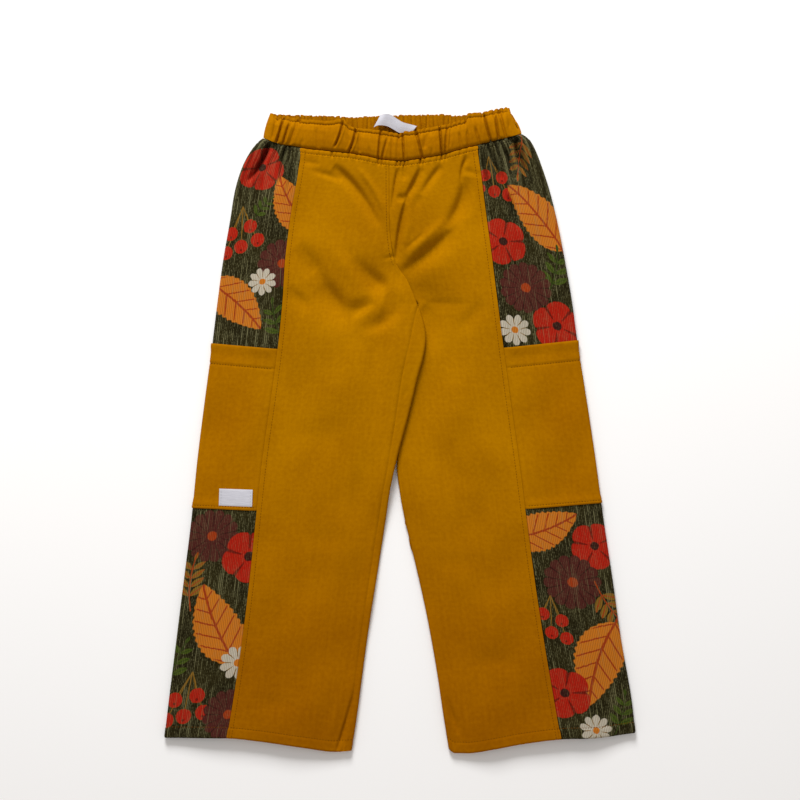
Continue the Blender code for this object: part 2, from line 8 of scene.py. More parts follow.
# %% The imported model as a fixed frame
import math

import bpy
import numpy as np
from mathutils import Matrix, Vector
from mathutils.bvhtree import BVHTree


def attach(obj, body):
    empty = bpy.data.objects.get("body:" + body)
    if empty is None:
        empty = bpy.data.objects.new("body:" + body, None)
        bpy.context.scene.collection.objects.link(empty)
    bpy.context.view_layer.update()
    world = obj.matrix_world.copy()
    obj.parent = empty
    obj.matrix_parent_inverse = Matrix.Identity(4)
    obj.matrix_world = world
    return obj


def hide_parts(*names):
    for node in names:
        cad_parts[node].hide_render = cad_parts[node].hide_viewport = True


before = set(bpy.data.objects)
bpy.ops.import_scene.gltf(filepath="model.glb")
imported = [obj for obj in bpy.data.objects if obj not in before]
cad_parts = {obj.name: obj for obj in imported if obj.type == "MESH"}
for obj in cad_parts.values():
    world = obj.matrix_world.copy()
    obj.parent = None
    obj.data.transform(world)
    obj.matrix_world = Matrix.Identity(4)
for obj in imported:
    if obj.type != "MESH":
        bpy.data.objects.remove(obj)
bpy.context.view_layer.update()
bpy.ops.object.select_all(action="DESELECT")
MM = 0.001

# %% [markdown]
# ## Sizes
# The garment is laid flat, so it is easiest to describe by what somebody measures on a table: for
# each level y, where its folds and seams lie. Every table names its columns. All sizes here are in
# millimetres, and they are the sizes that the solids were cut to.

# %% Cloth and places, in millimetres
WALL = 1.0  # twill
CORD_WALL = 1.1  # corduroy
HEM_WALL = 2.2  # twill or corduroy turned up once
BAND_WALL = 2.0
LABEL_WALL = 0.7
LAID_ON = 0.35  # between a panel and what lies on it
UNDER = 1.0  # how far a sheet runs on beneath its neighbour at a seam

WAIST_Y, CROTCH_Y, HEM_Y = 292.0, 126.0, -308.0
RISE_TOP_Y = 190.0  # up to here the trousers are thinner along their middle
HEM_DEPTH = 12.5  # how far up a hem is turned
INNER_EDGE = 5.0  # height of a leg at its inner fold
LEAST_HEIGHT = 2.3  # of the front's face in the deepest creases, so that it clears the back
LIFT, LIFT_RAMP, LAP_SPARE = 5.9, 30.0, 4.0  # the left leg climbs over the right leg
LIFT_BEGINS, LIFT_ENDS = (-104.0, -38.0), (CROTCH_Y, 166.0)  # levels where it climbs and settles
JOINED_Y = 150.0  # by this level the two legs have become one
LAP, LAP_WIDTH = 0.9, 26.0  # the left front's rise lies so much higher, and the right one's lower
LAP_BEGINS, LAP_ENDS = (CROTCH_Y, 145.0), (174.0, 194.0)
TUCK, TUCK_BEGINS, TUCK_ENDS = 3.4, (CROTCH_Y, CROTCH_Y + 7), (166.0, 178.0)  # right front beneath left
DIP_LEVELS = (172.0, 180.0)  # above them the two fronts meet in a seam
CURL = 2.5  # radius of the bend at an inner fold
SEAM_GAP = 0.2  # from a seam's middle to each of the two edges that meet there
LOFT_RAMP = 55.0  # from an outer fold in to the leg's or the band's full height
INNER_RAMP, INNER_BLEND = 45.0, 60.0  # the same from an inner fold, and for the height of its edge
HEM_RUN_Y, SAG_Y = -180.0, 196.0  # where the hem's slant has ended, and the waist's sag begins

SIDE_COLUMNS = ("y", "outer", "seam", "back")
SIDE_ROWS = {
    "left": (
        (292, -136.5, -100.0, 34),
        (286, -143.5, -100.0, 38),
        (280, -148.5, -100.2, 41),
        (270, -154.5, -101.7, 44),
        (260, -159.0, -102.9, 46),
        (240, -165.0, -106.0, 48),
        (210, -170.0, -110.5, 50),
        (170, -177.0, -115.4, 51),
        (130, -182.5, -118.0, 52),
        (90, -187.5, -122.0, 53),
        (30, -195.5, -130.0, 54),
        (-30, -203.0, -138.5, 55),
        (-90, -209.0, -145.0, 55),
        (-150, -216.5, -151.2, 55),
        (-210, -224.0, -158.7, 55),
        (-270, -231.5, -167.6, 55),
        (-308, -236.0, -174.0, 55),
    ),
    "right": (
        (292, 121.5, 78.0, 34),
        (286, 129.5, 78.3, 38),
        (280, 133.5, 79.0, 41),
        (270, 138.2, 80.3, 44),
        (260, 142.0, 81.7, 46),
        (240, 149.0, 83.9, 48),
        (210, 157.0, 87.5, 50),
        (170, 165.0, 92.9, 51),
        (130, 172.0, 98.0, 52),
        (90, 177.5, 103.2, 53),
        (30, 187.0, 111.3, 54),
        (-30, 196.0, 119.8, 55),
        (-90, 204.0, 127.4, 55),
        (-150, 213.0, 135.5, 55),
        (-210, 221.5, 144.7, 55),
        (-270, 231.5, 155.0, 55),
        (-308, 235.8, 161.8, 55),
    ),
}
INNER_COLUMNS = ("y", "left_fold", "left_wrap", "right_fold", "right_wrap")
INNER_ROWS = (
    (126, 17.4, 0.0, 17.8, 0.0),
    (116, 21.3, 7.0, 13.6, 2.4),
    (104, 24.6, 13.0, 10.2, 4.4),
    (90, 25.8, 17.0, 7.3, 5.2),
    (72, 23.0, 18.4, 4.5, 5.4),
    (52, 17.4, 17.0, 2.0, 5.4),
    (30, 12.2, 15.2, -0.2, 5.4),
    (5, 5.9, 12.6, -2.0, 5.4),
    (-18, -0.4, 10.2, -3.1, 5.4),
    (-36, -4.6, 8.9, -3.2, 5.2),
    (-60, -9.8, 8.2, -0.6, 4.2),
    (-88, -13.9, 8.4, 4.4, 1.4),
    (-120, -18.9, 8.6, 12.0, -2.4),
    (-160, -25.2, 8.4, 21.3, -4.6),
    (-200, -31.6, 8.0, 29.7, -5.4),
    (-240, -37.8, 7.8, 37.4, -5.6),
    (-275, -43.0, 8.6, 43.2, -5.6),
    (-308, -48.4, 11.4, 48.8, -5.6),
)
RISE_COLUMNS = ("y", "front", "back")
RISE_ROWS = (
    (292, -10.5, -8.0),
    (262, -10.5, -7.5),
    (208, -10.0, -5.5),
    (185, -8.4, -4.4),
    (175, -6.8, -3.6),
    (166, -4.0, -2.6),
    (160, 0.0, -1.2),
    (151, 6.5, 2.2),
    (139, 12.2, 7.6),
    (133, 14.9, 12.0),
    (126, 17.4, 17.4),
)
HEIGHT_COLUMNS = ("y", "edge", "loft")
HEIGHT_ROWS = (
    (292, 13.0, 4.6),
    (260, 11.2, 4.6),
    (210, 9.2, 5.0),
    (170, 8.2, 5.0),
    (126, 7.2, 4.6),
    (60, 6.2, 4.2),
    (-60, 5.8, 4.2),
    (-200, 5.6, 3.8),
    (-308, 5.4, 3.4),
)
WAIST_COLUMNS = ("x", "front", "back", "back_top")
WAIST_ROWS = (
    (-137, 292.0, 292.0, 317.0),
    (-122, 285.5, 290.5, 316.0),
    (-106, 282.5, 289.3, 315.6),
    (-88, 279.6, 288.3, 315.2),
    (-65, 277.2, 287.6, 314.6),
    (-50, 275.6, 287.2, 313.6),
    (-35, 272.8, 287.0, 314.2),
    (-18, 269.3, 287.0, 315.0),
    (0, 268.0, 287.0, 315.4),
    (15, 269.5, 287.2, 316.0),
    (38, 273.4, 287.8, 316.4),
    (57, 278.4, 288.4, 315.4),
    (66, 281.0, 288.8, 315.8),
    (82, 284.6, 289.6, 317.0),
    (99, 289.2, 290.8, 318.0),
    (110, 292.4, 292.8, 319.4),
    (122, 296.0, 296.0, 319.0),
)
HEM_COLUMNS = ("x", "drop")
HEM_ROWS = {
    "left": ((-236, 0), (-174, 0), (-142, -3), (-94, -10), (-65, -14), (-48, -13)),
    "right": ((48, -11), (55, -15.5), (66, -15.5), (95, -11), (122, -6), (161, -1), (196, 0), (236, 5)),
}
POCKET_COLUMNS = ("top", "top_climb", "bottom", "bottom_climb")
POCKET_ROWS = {"left": (81.0, 6.0, -80.5, 2.6), "right": (82.2, 8.0, -78.8, 6.0)}
POCKET_HEM = 20.0  # from a pocket's top edge down to its hem's stitching
POCKET_RAISE = 1.2  # how high a pocket's free edges lie over the panel
RAISE_FADE = 12.0  # and how far in from them it has settled
print("Leg length", WAIST_Y - HEM_Y, "mm")

# %% [markdown]
# ## Creases
# Cloth that is laid out by hand keeps soft troughs and ridges where it was bent: at the rise, where
# the legs part, and below the gathered waist. Each is one row: a curve down through three points,
# its half width, its depth (below zero for a ridge), its skew (above zero: steep at the picture's
# left), and where along it is deepest. A cloth simulation would give creases too, but not these
# ones in these places, so they are listed one by one.

# %% Troughs and ridges
FOLD_COLUMNS = ("x0", "y0", "x1", "y1", "x2", "y2", "half", "depth", "skew", "peak")
FOLD_ROWS = (
    # the front's left half
    (-66, 265, -42, 241, -21, 206, 5.0, 4.7, -0.25, 0.28),
    (-42, 262, -23, 236, -8, 200, 3.4, -2.0, 0.0, 0.5),
    (-16, 224, -10, 206, -7, 184, 1.6, 0.9, -0.4, 0.4),
    (-98, 269, -88, 267, -79, 266, 2.4, 1.0, 0.0, 0.4),
    (-88, 260, -71, 255, -58, 250, 3.2, 1.7, 0.1, 0.6),
    (-102, 191, -90, 174, -76, 150, 10.0, 4.0, -0.2, 0.6),
    (-86, 164, -69, 141, -44, 106, 13.0, 7.6, -0.3, 0.6),
    (-72, 196, -52, 164, -32, 146, 8.0, -1.8, 0.0, 0.5),
    (-50, 118, -38, 125, -25, 131.5, 6.6, 4.4, 0.3, 0.4),
    (-112, 146, -100, 134, -88, 124, 7.0, 2.0, -0.3, 0.5),
    (-48, 178, -31, 159, -11, 144, 10.0, 6.0, -0.22, 0.7),
    (-25, 142, -19, 128, -23, 112, 4.0, -1.2, 0.0, 0.5),
    (-38, 107, -17, 111, 0, 129, 7.5, 3.5, 0.3, 0.45),
    (-17, 171, -10, 173, -5, 174, 1.6, 1.2, 0.2, 0.8),
    # the front's right half
    (-2, 262, -5, 246, -8, 222, 2.2, 2.8, 0.4, 0.35),
    (3, 264, 4, 256, 3, 250, 3.0, 1.8, 0.0, 0.5),
    (21, 263, 13.5, 247, 6, 233, 3.2, 4.4, 0.3, 0.5),
    (-4, 234, 2, 233, 9, 234, 3.8, 2.3, 0.0, 0.5),
    (8, 234, 0, 206, -4, 169, 2.8, 4.4, 0.45, 0.55),
    (15, 228, 9, 206, 5, 186, 4.0, -1.0, 0.0, 0.5),
    (41, 265, 31, 252, 22, 237, 3.4, 2.6, 0.2, 0.3),
    (20, 236, 14, 222, 10, 206, 4.5, 1.3, 0.0, 0.3),
    (67, 274, 62, 262, 61, 248, 2.2, 2.6, 0.3, 0.3),
    (65, 256, 60, 230, 46, 205, 7.0, 5.2, 0.3, 0.5),
    (63, 260, 71, 258, 80, 254, 3.0, 1.1, 0.0, 0.4),
    (59, 206, 28, 182, 1, 159, 7.8, 6.0, 0.40, 0.55),
    (46, 212, 24, 192, 5, 174, 4.5, -2.0, 0.0, 0.5),
    (24, 198, 14, 189, 5, 181, 1.9, 1.0, 0.3, 0.4),
    (21, 128, 30, 107, 32, 78, 6.0, 2.6, 0.3, 0.4),
    (84, 133, 72, 118, 58, 102, 7.0, 1.3, 0.2, 0.5),
    # knees and lower legs
    (2, 35, 7, 38, 13, 40, 2.2, 0.7, 0.0, 0.5),
    (-120, 10, -84, 2, -50, 12, 14, 0.9, 0.0, 0.5),
    (38, -30, 66, -40, 100, -30, 14, 0.9, 0.0, 0.5),
    (-42, -250, -54, -290, -63, -320, 2.4, 3.0, 0.3, 0.7),
    (-52, -250, -64, -284, -74, -312, 6.0, -0.8, 0.0, 0.6),
    (38, -252, 47, -274, 59, -302, 2.6, 2.6, 0.3, 0.6),
    (-130, -200, -120, -240, -122, -300, 11, 0.8, 0.0, 0.5),
    (104, -190, 111, -240, 108, -300, 11, 0.8, 0.0, 0.5),
    (-150, -262, -126, -270, -100, -264, 9, 0.8, 0.0, 0.5),
    (70, -232, 96, -226, 124, -236, 9, 0.9, 0.0, 0.5),
    (-96, -96, -74, -104, -50, -100, 10, 0.8, 0.0, 0.5),
    (30, -120, 56, -128, 84, -122, 10, 0.8, 0.0, 0.5),
    # gathers of the corduroy below the band
    (-130, 289, -138, 270, -152, 250, 2.5, 9.5, 0.2, 0.3),
    (-125, 285, -133, 268, -139, 248, 3.0, -1.2, 0.0, 0.3),
    (-113, 285, -117, 266, -121, 244, 2.3, 5.2, 0.2, 0.3),
    (-120, 285, -126, 272, -131, 256, 1.8, 1.0, 0.0, 0.3),
    (-106, 283, -108, 270, -110, 252, 2.0, 1.1, 0.0, 0.3),
    (-149, 277, -157, 258, -163, 236, 3.0, 3.8, 0.2, 0.4),
    (-142, 283, -150, 266, -156, 246, 2.4, -0.9, 0.0, 0.4),
    (80, 286, 83, 272, 86, 252, 2.2, -1.2, 0.0, 0.4),
    (87, 286, 93, 266, 101, 250, 2.3, 6.0, 0.2, 0.35),
    (94, 288, 97, 276, 99, 262, 1.7, 0.9, 0.0, 0.3),
    (104, 280, 110, 266, 114, 250, 2.2, 6.5, 0.2, 0.4),
    (115, 294, 117.5, 275, 125, 255, 2.4, 9.5, 0.2, 0.35),
    (119, 290, 124, 272, 130, 248, 2.0, -2.4, 0.0, 0.4),
    (127, 287, 136, 264, 143, 242, 2.6, 3.8, 0.2, 0.4),
    (108, 236, 113, 220, 119, 202, 2.4, 4.4, 0.0, 0.5),
)
CREASE_COLUMNS = ("x_low", "x_mid", "x_high", "up_low", "up_high", "depth", "half")
CREASE_ROWS = (  # of the waistband's front: x at three heights, from share up_low to up_high
    (-128, -125.5, -123, 0.15, 0.84, 1.2, 1.3),
    (-123.2, -119, -114.6, 0.05, 0.88, 2.0, 1.1),
    (-116.7, -112.4, -107.7, 0.05, 0.76, 1.6, 1.1),
    (-110.3, -105.6, -100.4, 0.08, 0.92, 1.0, 1.7),
    (-99, -96, -94, 0.0, 0.30, 0.5, 1.5),
    (-81.4, -82.6, -83.2, 0.08, 0.70, 0.6, 2.0),
    (-67.6, -60, -56.5, 0.20, 0.98, 1.8, 1.1),
    (-51.3, -46, -44, 0.05, 1.0, 2.0, 1.1),
    (-40, -40.6, -41, 0.12, 0.75, 0.7, 1.5),
    (-30, -31, -31, 0.0, 0.35, 0.4, 1.5),
    (-21.6, -20.5, -19, 0.02, 1.0, 1.5, 1.0),
    (-18, -14.5, -11, 0.03, 0.75, 1.1, 1.1),
    (-8.3, -8.1, -7.5, 0.05, 0.85, 0.5, 1.1),
    (-2, -2.2, -1, 0.05, 0.90, 0.6, 1.3),
    (4.2, 3.4, 2.5, 0.02, 1.0, 1.5, 1.0),
    (22.3, 19, 15.8, 0.0, 0.95, 2.1, 1.1),
    (23.6, 25, 26, 0.35, 0.75, 0.9, 2.2),
    (31, 32, 33, 0.0, 0.25, 0.5, 1.3),
    (41.7, 40.6, 39.5, 0.0, 1.0, 2.1, 1.0),
    (45, 46, 47.3, 0.05, 0.87, 1.1, 1.1),
    (49, 49.6, 50, 0.25, 0.80, 0.6, 1.1),
    (61.5, 59, 57, 0.05, 0.55, 0.8, 1.3),
    (68.4, 66.5, 65, 0.03, 0.50, 0.9, 1.3),
    (79.6, 75, 71.5, 0.05, 0.52, 1.1, 1.4),
    (90.8, 86.4, 83, 0.03, 0.92, 2.1, 1.1),
    (98.5, 96.2, 94.2, 0.06, 0.78, 2.0, 1.1),
    (105.8, 102, 98.5, 0.03, 0.96, 1.4, 1.2),
    (109.7, 109, 108, 0.35, 0.75, 0.8, 1.2),
    (115.8, 115.4, 115, 0.05, 0.52, 0.8, 1.2),
)
PINCH_COLUMNS = ("x", "depth", "half")
PINCH_ROWS = (  # between the waist seam and the stitching below it
    (-92, 0.5, 1.0), (-86, 0.6, 1.0), (-80, 0.8, 1.1), (-74.5, 0.5, 1.0), (-67.6, 1.3, 1.2),
    (-63, 0.6, 0.9), (-57, 0.8, 1.0), (-51, 1.0, 1.1), (-43, 1.3, 1.2), (-38.5, 0.9, 1.0),
    (-30, 0.6, 1.0), (-21.4, 2.0, 1.2), (-17.6, 1.2, 1.0), (-14, 0.6, 0.9), (-9, 0.7, 0.9),
    (-3.0, 1.7, 1.1), (0.6, 1.3, 0.9), (4.6, 1.8, 1.1), (8.2, 0.8, 0.9), (14, 0.4, 1.0),
    (20.4, 2.0, 1.2), (24.2, 1.2, 1.0), (31, 0.7, 1.1), (37, 0.5, 1.0), (41.6, 2.1, 1.2),
    (45.8, 1.6, 1.1), (50, 0.7, 0.9), (60, 1.0, 1.1), (67, 0.8, 1.0), (73, 0.6, 1.0),
)
FOLD_STEPS = 12  # straight pieces that a curve is measured by
SHADE_SHIFT = 0.5  # the rows follow a trough's dark flank, this many half widths above its middle
BROAD = 5.0  # half width from which a trough begins and ends more softly
SWELL_COLUMNS = ("length_x", "length_y", "phase", "height")
SWELL_ROWS = ((96, 140, 0.4, 0.35), (-61, 88, 2.1, 0.22), (150, -72, 4.0, 0.3), (47, 230, 1.2, 0.14))
SWELL_ANGLE = 6.0  # radians of wave in each of those lengths
PINCH_PULL = 1.4  # the pinches are this many times as deep as their rows say
GATHER_FADE = 17.0  # length down the corduroy in which its gathers lose two thirds of their depth


def named(rows, columns):
    """Each row of a table as a dictionary, under the names of its columns."""
    return [dict(zip(columns, row)) for row in rows]


def read(rows, columns, name, at):
    """A column of a table as a smooth curve: cubic pieces whose slopes never overshoot."""
    table = np.array(sorted(rows), float)
    x, y = table[:, 0], table[:, columns.index(name)]
    step, rise = np.diff(x), np.diff(y)
    secant = rise / step
    slope = np.concatenate([[secant[0]], (secant[1:] + secant[:-1]) / 2, [secant[-1]]])
    flat = np.concatenate([[False], secant[1:] * secant[:-1] <= 0, [False]])
    slope[flat] = 0.0
    before, after = np.insert(secant, 0, secant[0]), np.append(secant, secant[-1])
    limit = 3 * np.minimum(np.abs(before), np.abs(after))
    slope = np.clip(slope, -limit, limit)
    at = np.clip(np.asarray(at, float), x[0], x[-1])
    k = np.clip(np.searchsorted(x, at, side="right") - 1, 0, len(step) - 1)
    t = (at - x[k]) / step[k]
    return (
        y[k] * (1 + 2 * t) * (1 - t) ** 2
        + y[k + 1] * t**2 * (3 - 2 * t)
        + step[k] * (slope[k] * t * (1 - t) ** 2 + slope[k + 1] * t**2 * (t - 1))
    )


def ease(value, start, end):
    """0 at start and 1 at end, smooth at both."""
    t = np.clip((np.asarray(value, float) - start) / (end - start), 0, 1)
    return t * t * (3 - 2 * t)


def fall(value, start, end):
    """1 at start and 0 at end, smooth at both."""
    return 1 - ease(value, start, end)


def hump(value, middle, half):
    """A bell curve: 1 at its middle, and about a third at a half width from it."""
    return np.exp(-(((value - middle) / half) ** 2))


def seam_x(side, y):
    """x of the seam between a front panel and its side panel."""
    return read(SIDE_ROWS[side], SIDE_COLUMNS, "seam", y)


def folds(x, y):
    """How far the troughs and ridges sink the cloth at a place on the front."""
    depth = np.zeros_like(x)
    t = np.linspace(0, 1, FOLD_STEPS + 1)
    first, middle, last = (2 * t - 1) * (t - 1), 4 * t * (1 - t), t * (2 * t - 1)
    for fold in named(FOLD_ROWS, FOLD_COLUMNS):
        px = first * fold["x0"] + middle * fold["x1"] + last * fold["x2"]
        py = first * fold["y0"] + middle * fold["y1"] + last * fold["y2"] - SHADE_SHIFT * fold["half"]
        nearest, along, side = np.full_like(x, np.inf), np.zeros_like(x), np.zeros_like(x)
        for k in range(FOLD_STEPS):
            dx, dy = px[k + 1] - px[k], py[k + 1] - py[k]
            s = np.clip(((x - px[k]) * dx + (y - py[k]) * dy) / (dx * dx + dy * dy), 0, 1)
            off_x, off_y = x - px[k] - s * dx, y - py[k] - s * dy
            away = np.hypot(off_x, off_y)
            closer = away < nearest
            along = np.where(closer, (k + s) / FOLD_STEPS, along)
            side = np.where(closer, np.tanh((dx * off_y - dy * off_x) / np.hypot(dx, dy)), side)
            nearest = np.minimum(nearest, away)
        part = np.where(along < fold["peak"], along / fold["peak"], (1 - along) / (1 - fold["peak"]))
        blunt = 0.7 + 0.14 * max(fold["half"] - BROAD, 0)
        taper = 0.08 + 0.92 * np.sin(np.pi / 2 * part) ** blunt
        half = fold["half"] * (1 + fold["skew"] * side)
        depth += fold["depth"] * taper * hump(nearest, 0, half)
    return depth


def swells(x, y):
    """Broad, faint waves that lie all over the front."""
    total = 0
    for wave in named(SWELL_ROWS, SWELL_COLUMNS):
        turned = x / wave["length_x"] * SWELL_ANGLE + y / wave["length_y"] * SWELL_ANGLE
        total = total + wave["height"] * np.sin(turned + wave["phase"])
    return total


def puckers(side, x, y):
    """Short gathers that run down from the waist seam: sharp pinches in the twill, down to the
    first stitching, and longer waves in the corduroy."""
    in_corduroy = ease(np.abs(x) - np.abs(seam_x(side, y)), -3, 3)
    below = WAIST_Y - y
    wave = np.sin(x * 1.25 + 1.6 * np.sin(x / 9.0)) * (0.6 + 0.4 * np.sin(x * 0.37 + 1.0))
    sharp = 0.25 * wave
    for pinch in named(PINCH_ROWS, PINCH_COLUMNS):
        sharp = sharp + PINCH_PULL * pinch["depth"] * hump(x, pinch["x"], pinch["half"])
    fine = np.sin(x * 2.1 + 1.2 * np.sin(x / 7.0)) * (0.6 + 0.4 * np.sin(x * 0.51 + 2.0))
    long = 1.7 * fine + 0.9 * wave + 0.6 * np.sin(x * 0.8 + 2.0)
    in_twill = fall(below, 3.5, 9) * (1 - in_corduroy)
    return sharp * in_twill + long * np.exp(-np.clip(below, 0, None) / GATHER_FADE) * in_corduroy


print(len(FOLD_ROWS), "creases placed by hand")

# %% [markdown]
# ## The flattened tube of a leg
# A trouser leg that lies flat is a tube of cloth pressed together: a front layer, a tight bend at
# each fold, and a back layer on the floor. One function gives the point at any length of cloth
# from the outer fold, at any level. Each panel is then a stretch of that tube, so all the seams
# meet, and what lies on a panel uses the same points, moved out.


# %% Points of a leg's cloth
def outward(side):
    return -1.0 if side == "left" else 1.0


def outer_x(side, y):
    return read(SIDE_ROWS[side], SIDE_COLUMNS, "outer", y)


def edge_height(y):
    return read(HEIGHT_ROWS, HEIGHT_COLUMNS, "edge", y)


def inner_x(side, y, layer):
    """x of the inner edge: the inner fold, or above the crotch the centre seam of a layer."""
    fold = read(INNER_ROWS, INNER_COLUMNS, side + "_fold", y)
    seam = read(RISE_ROWS, RISE_COLUMNS, layer, y) + SEAM_GAP * outward(side)
    if layer == "front" and side == "right":
        seam = seam - TUCK * ease(y, *TUCK_BEGINS) * fall(y, *TUCK_ENDS)
    return np.where(y > CROTCH_Y, seam, fold)


OVERLAP_LEVELS = np.arange(HEM_Y - 20, WAIST_Y + 20, 2.0)
left_fold = read(INNER_ROWS, INNER_COLUMNS, "left_fold", OVERLAP_LEVELS)
right_fold = read(INNER_ROWS, INNER_COLUMNS, "right_fold", OVERLAP_LEVELS)
overlap = np.clip(left_fold - right_fold, 0, None)
BLUR = np.ones(13) / 13  # so that the overlap begins softly at the crotch
overlap = np.convolve(overlap, BLUR, mode="same")


def lapped(y):
    """How far in from its inner fold the left leg lies over the right leg."""
    return np.interp(y, OVERLAP_LEVELS, overlap) + LAP_SPARE


def lift(side, x, y):
    """Height of the underside: the left leg's inner part climbs over the right leg."""
    if side == "right":
        return np.zeros_like(x)
    along = ease(y, *LIFT_BEGINS) * fall(y, *LIFT_ENDS)
    end = inner_x("left", y, "back") - lapped(y)
    return LIFT * along * ease(x, end - LIFT_RAMP, end)


def top_height(side, x, y):
    """Height of the upper layer's face over the floor."""
    edge = edge_height(y)
    loft = read(HEIGHT_ROWS, HEIGHT_COLUMNS, "loft", y)
    legs = fall(y, CROTCH_Y, RISE_TOP_Y)
    from_outer = np.abs(x - outer_x(side, y)) - edge / 2
    from_inner = np.abs(x - inner_x(side, y, "front")) - INNER_EDGE / 2
    if side == "right":
        from_inner = from_inner - lapped(y) * fall(y, CROTCH_Y, JOINED_Y)
    body = ease(from_outer, 0, LOFT_RAMP) * (1 - legs * fall(from_inner, 0, INNER_RAMP))
    edge = edge + (INNER_EDGE - edge) * legs * fall(from_inner, 0, INNER_BLEND)
    lap = ease(y, *LAP_BEGINS) * fall(y, *LAP_ENDS) * fall(from_inner, 0, LAP_WIDTH)
    return lift(side, x, y) + edge + loft * body - LAP * outward(side) * lap


def place_shift(side, x, y, front):
    """How far a point lies along Y from its level: the front sags at the waist, the hem runs
    down towards the inner fold."""
    drop = read(HEM_ROWS[side], HEM_COLUMNS, "drop", x) * fall(y, HEM_Y, HEM_RUN_Y)
    sag_front = read(WAIST_ROWS, WAIST_COLUMNS, "front", x) - WAIST_Y
    sag_back = read(WAIST_ROWS, WAIST_COLUMNS, "back", x) - WAIST_Y
    return drop + np.where(front, sag_front, sag_back) * ease(y, SAG_Y, WAIST_Y)


def tube(side, y, along, depth=0.0, reach=0.0):
    """Points of a leg's cloth at the level y. along is the length of cloth from the outer fold's
    edge, above zero over the front and below zero underneath; depth moves them inwards, and reach
    moves the inner edge on beneath its neighbour."""
    y, along, depth, reach = (
        np.array(v, float) for v in np.broadcast_arrays(y, along, depth, reach)
    )
    out = outward(side)
    edge = edge_height(y)
    radius = edge / 2 - depth
    outer = outer_x(side, y) - out * depth
    front = along >= 0
    inner = np.where(front, inner_x(side, y, "front"), inner_x(side, y, "back")) - out * reach
    quarter, inner_quarter = np.pi / 2 * radius, np.pi / 2 * CURL
    total = quarter + np.abs(outer - inner) - radius - CURL + inner_quarter
    left_over = np.where(y > CROTCH_Y, np.maximum(total - np.abs(along), 0), total - np.abs(along))
    past = left_over < 0  # round the inner fold and on to the other layer
    front = front != past
    left_over = np.abs(left_over)

    angle = np.clip(np.abs(along) / radius, 0, np.pi / 2)
    turn = np.clip(left_over / CURL, 0, np.pi / 2)
    from_outer = outer - out * (radius + np.abs(along) - quarter)
    flat = np.where(past, inner + out * (CURL + left_over - inner_quarter), from_outer)
    x = np.where(np.abs(along) < quarter, outer - out * radius * (1 - np.cos(angle)), flat)
    x = np.where(left_over < inner_quarter, inner + out * CURL * (1 - np.cos(turn)), x)

    shift = place_shift(side, x, y, front)
    near_fold = fall(y, CROTCH_Y, JOINED_Y) * fall(left_over, inner_quarter, 12)
    relief = folds(x, y + shift) * (1 - near_fold) + swells(x, y + shift) + puckers(side, x, y)
    upper = np.maximum(top_height(side, x, y) - relief - depth, LEAST_HEIGHT)
    lower = lift(side, x, y) + depth
    middle = edge / 2
    round_z = np.where(front, middle + radius * np.sin(angle), middle - radius * np.sin(angle))
    curl = fall(y, CROTCH_Y, JOINED_Y + 2) * CURL * (1 - np.sin(turn))
    flat_z = np.where(front, upper - curl, lower + curl)
    z = np.where(np.abs(along) < quarter, round_z, flat_z)
    settled = ease(np.abs(along), quarter, quarter + 6)
    on_top = (np.abs(along) >= quarter) & front
    z = np.where(on_top, z * settled + (middle + radius) * (1 - settled), z)
    return x, y + shift, z


def round_fold(y):
    """How much longer the cloth round the outer fold's quarter turn is than that turn in plan."""
    return (np.pi / 2 - 1) * edge_height(y) / 2


def length_to(side, y, x):
    """The length of cloth from the outer fold's edge to a place x."""
    return np.abs(outer_x(side, y) - x) + round_fold(y)


def length_to_seam(side, y):
    """The length of cloth from the outer fold's edge over to the front seam."""
    return length_to(side, y, seam_x(side, y))


def length_to_back(side, y):
    """The length of cloth from the outer fold's edge under to the back seam."""
    return read(SIDE_ROWS[side], SIDE_COLUMNS, "back", y) + round_fold(y)


def length_to_inner(side, y, layer):
    """The length of cloth from the outer fold's edge to the inner edge of one layer."""
    return length_to(side, y, inner_x(side, y, layer)) + (np.pi / 2 - 1) * CURL


def wrap(side, y):
    """How much cloth lies between the inner fold's edge and the inseam, up over the front."""
    return np.where(y > CROTCH_Y, 0.0, read(INNER_ROWS, INNER_COLUMNS, side + "_wrap", y))


def spaced(stops, counts):
    """Columns between lengths that differ from level to level: counts[k] steps from stops[k]."""
    columns = [stops[0]]
    for start, end, count in zip(stops, stops[1:], counts):
        columns += [start + (end - start) * (k + 1) / count for k in range(count)]
    return np.stack(columns, axis=-1)


def levels(top):
    """Levels from the hem up, closer together at the hem, at the rise and below the waist."""
    hem = np.concatenate([HEM_Y + np.array([0, 0.4, 0.9, 1.6]), np.arange(HEM_Y + 2.6, HEM_Y + 18, 1.3)])
    leg = np.arange(HEM_Y + 19, CROTCH_Y - 6, 3.2)
    body = np.arange(CROTCH_Y - 4.5, WAIST_Y - 9, 1.7)
    waist = np.arange(WAIST_Y - 8, top + 0.01, 0.6)
    return np.concatenate([hem, leg, body, waist])


print("Levels of a leg:", len(levels(WAIST_Y + 3)))

# %% [markdown]
# ## Sheets
# A panel starts as Blender's flat grid with as many squares as it has rows and columns of points.
# The grid's points are then moved on to the tube, and its UV map gets the real lengths of cloth in
# metres, so that a weave keeps its scale round every bend. Solidify gives the wall, inwards.


# %% A sheet of cloth from its points
SMOOTH_ANGLE = math.radians(50)


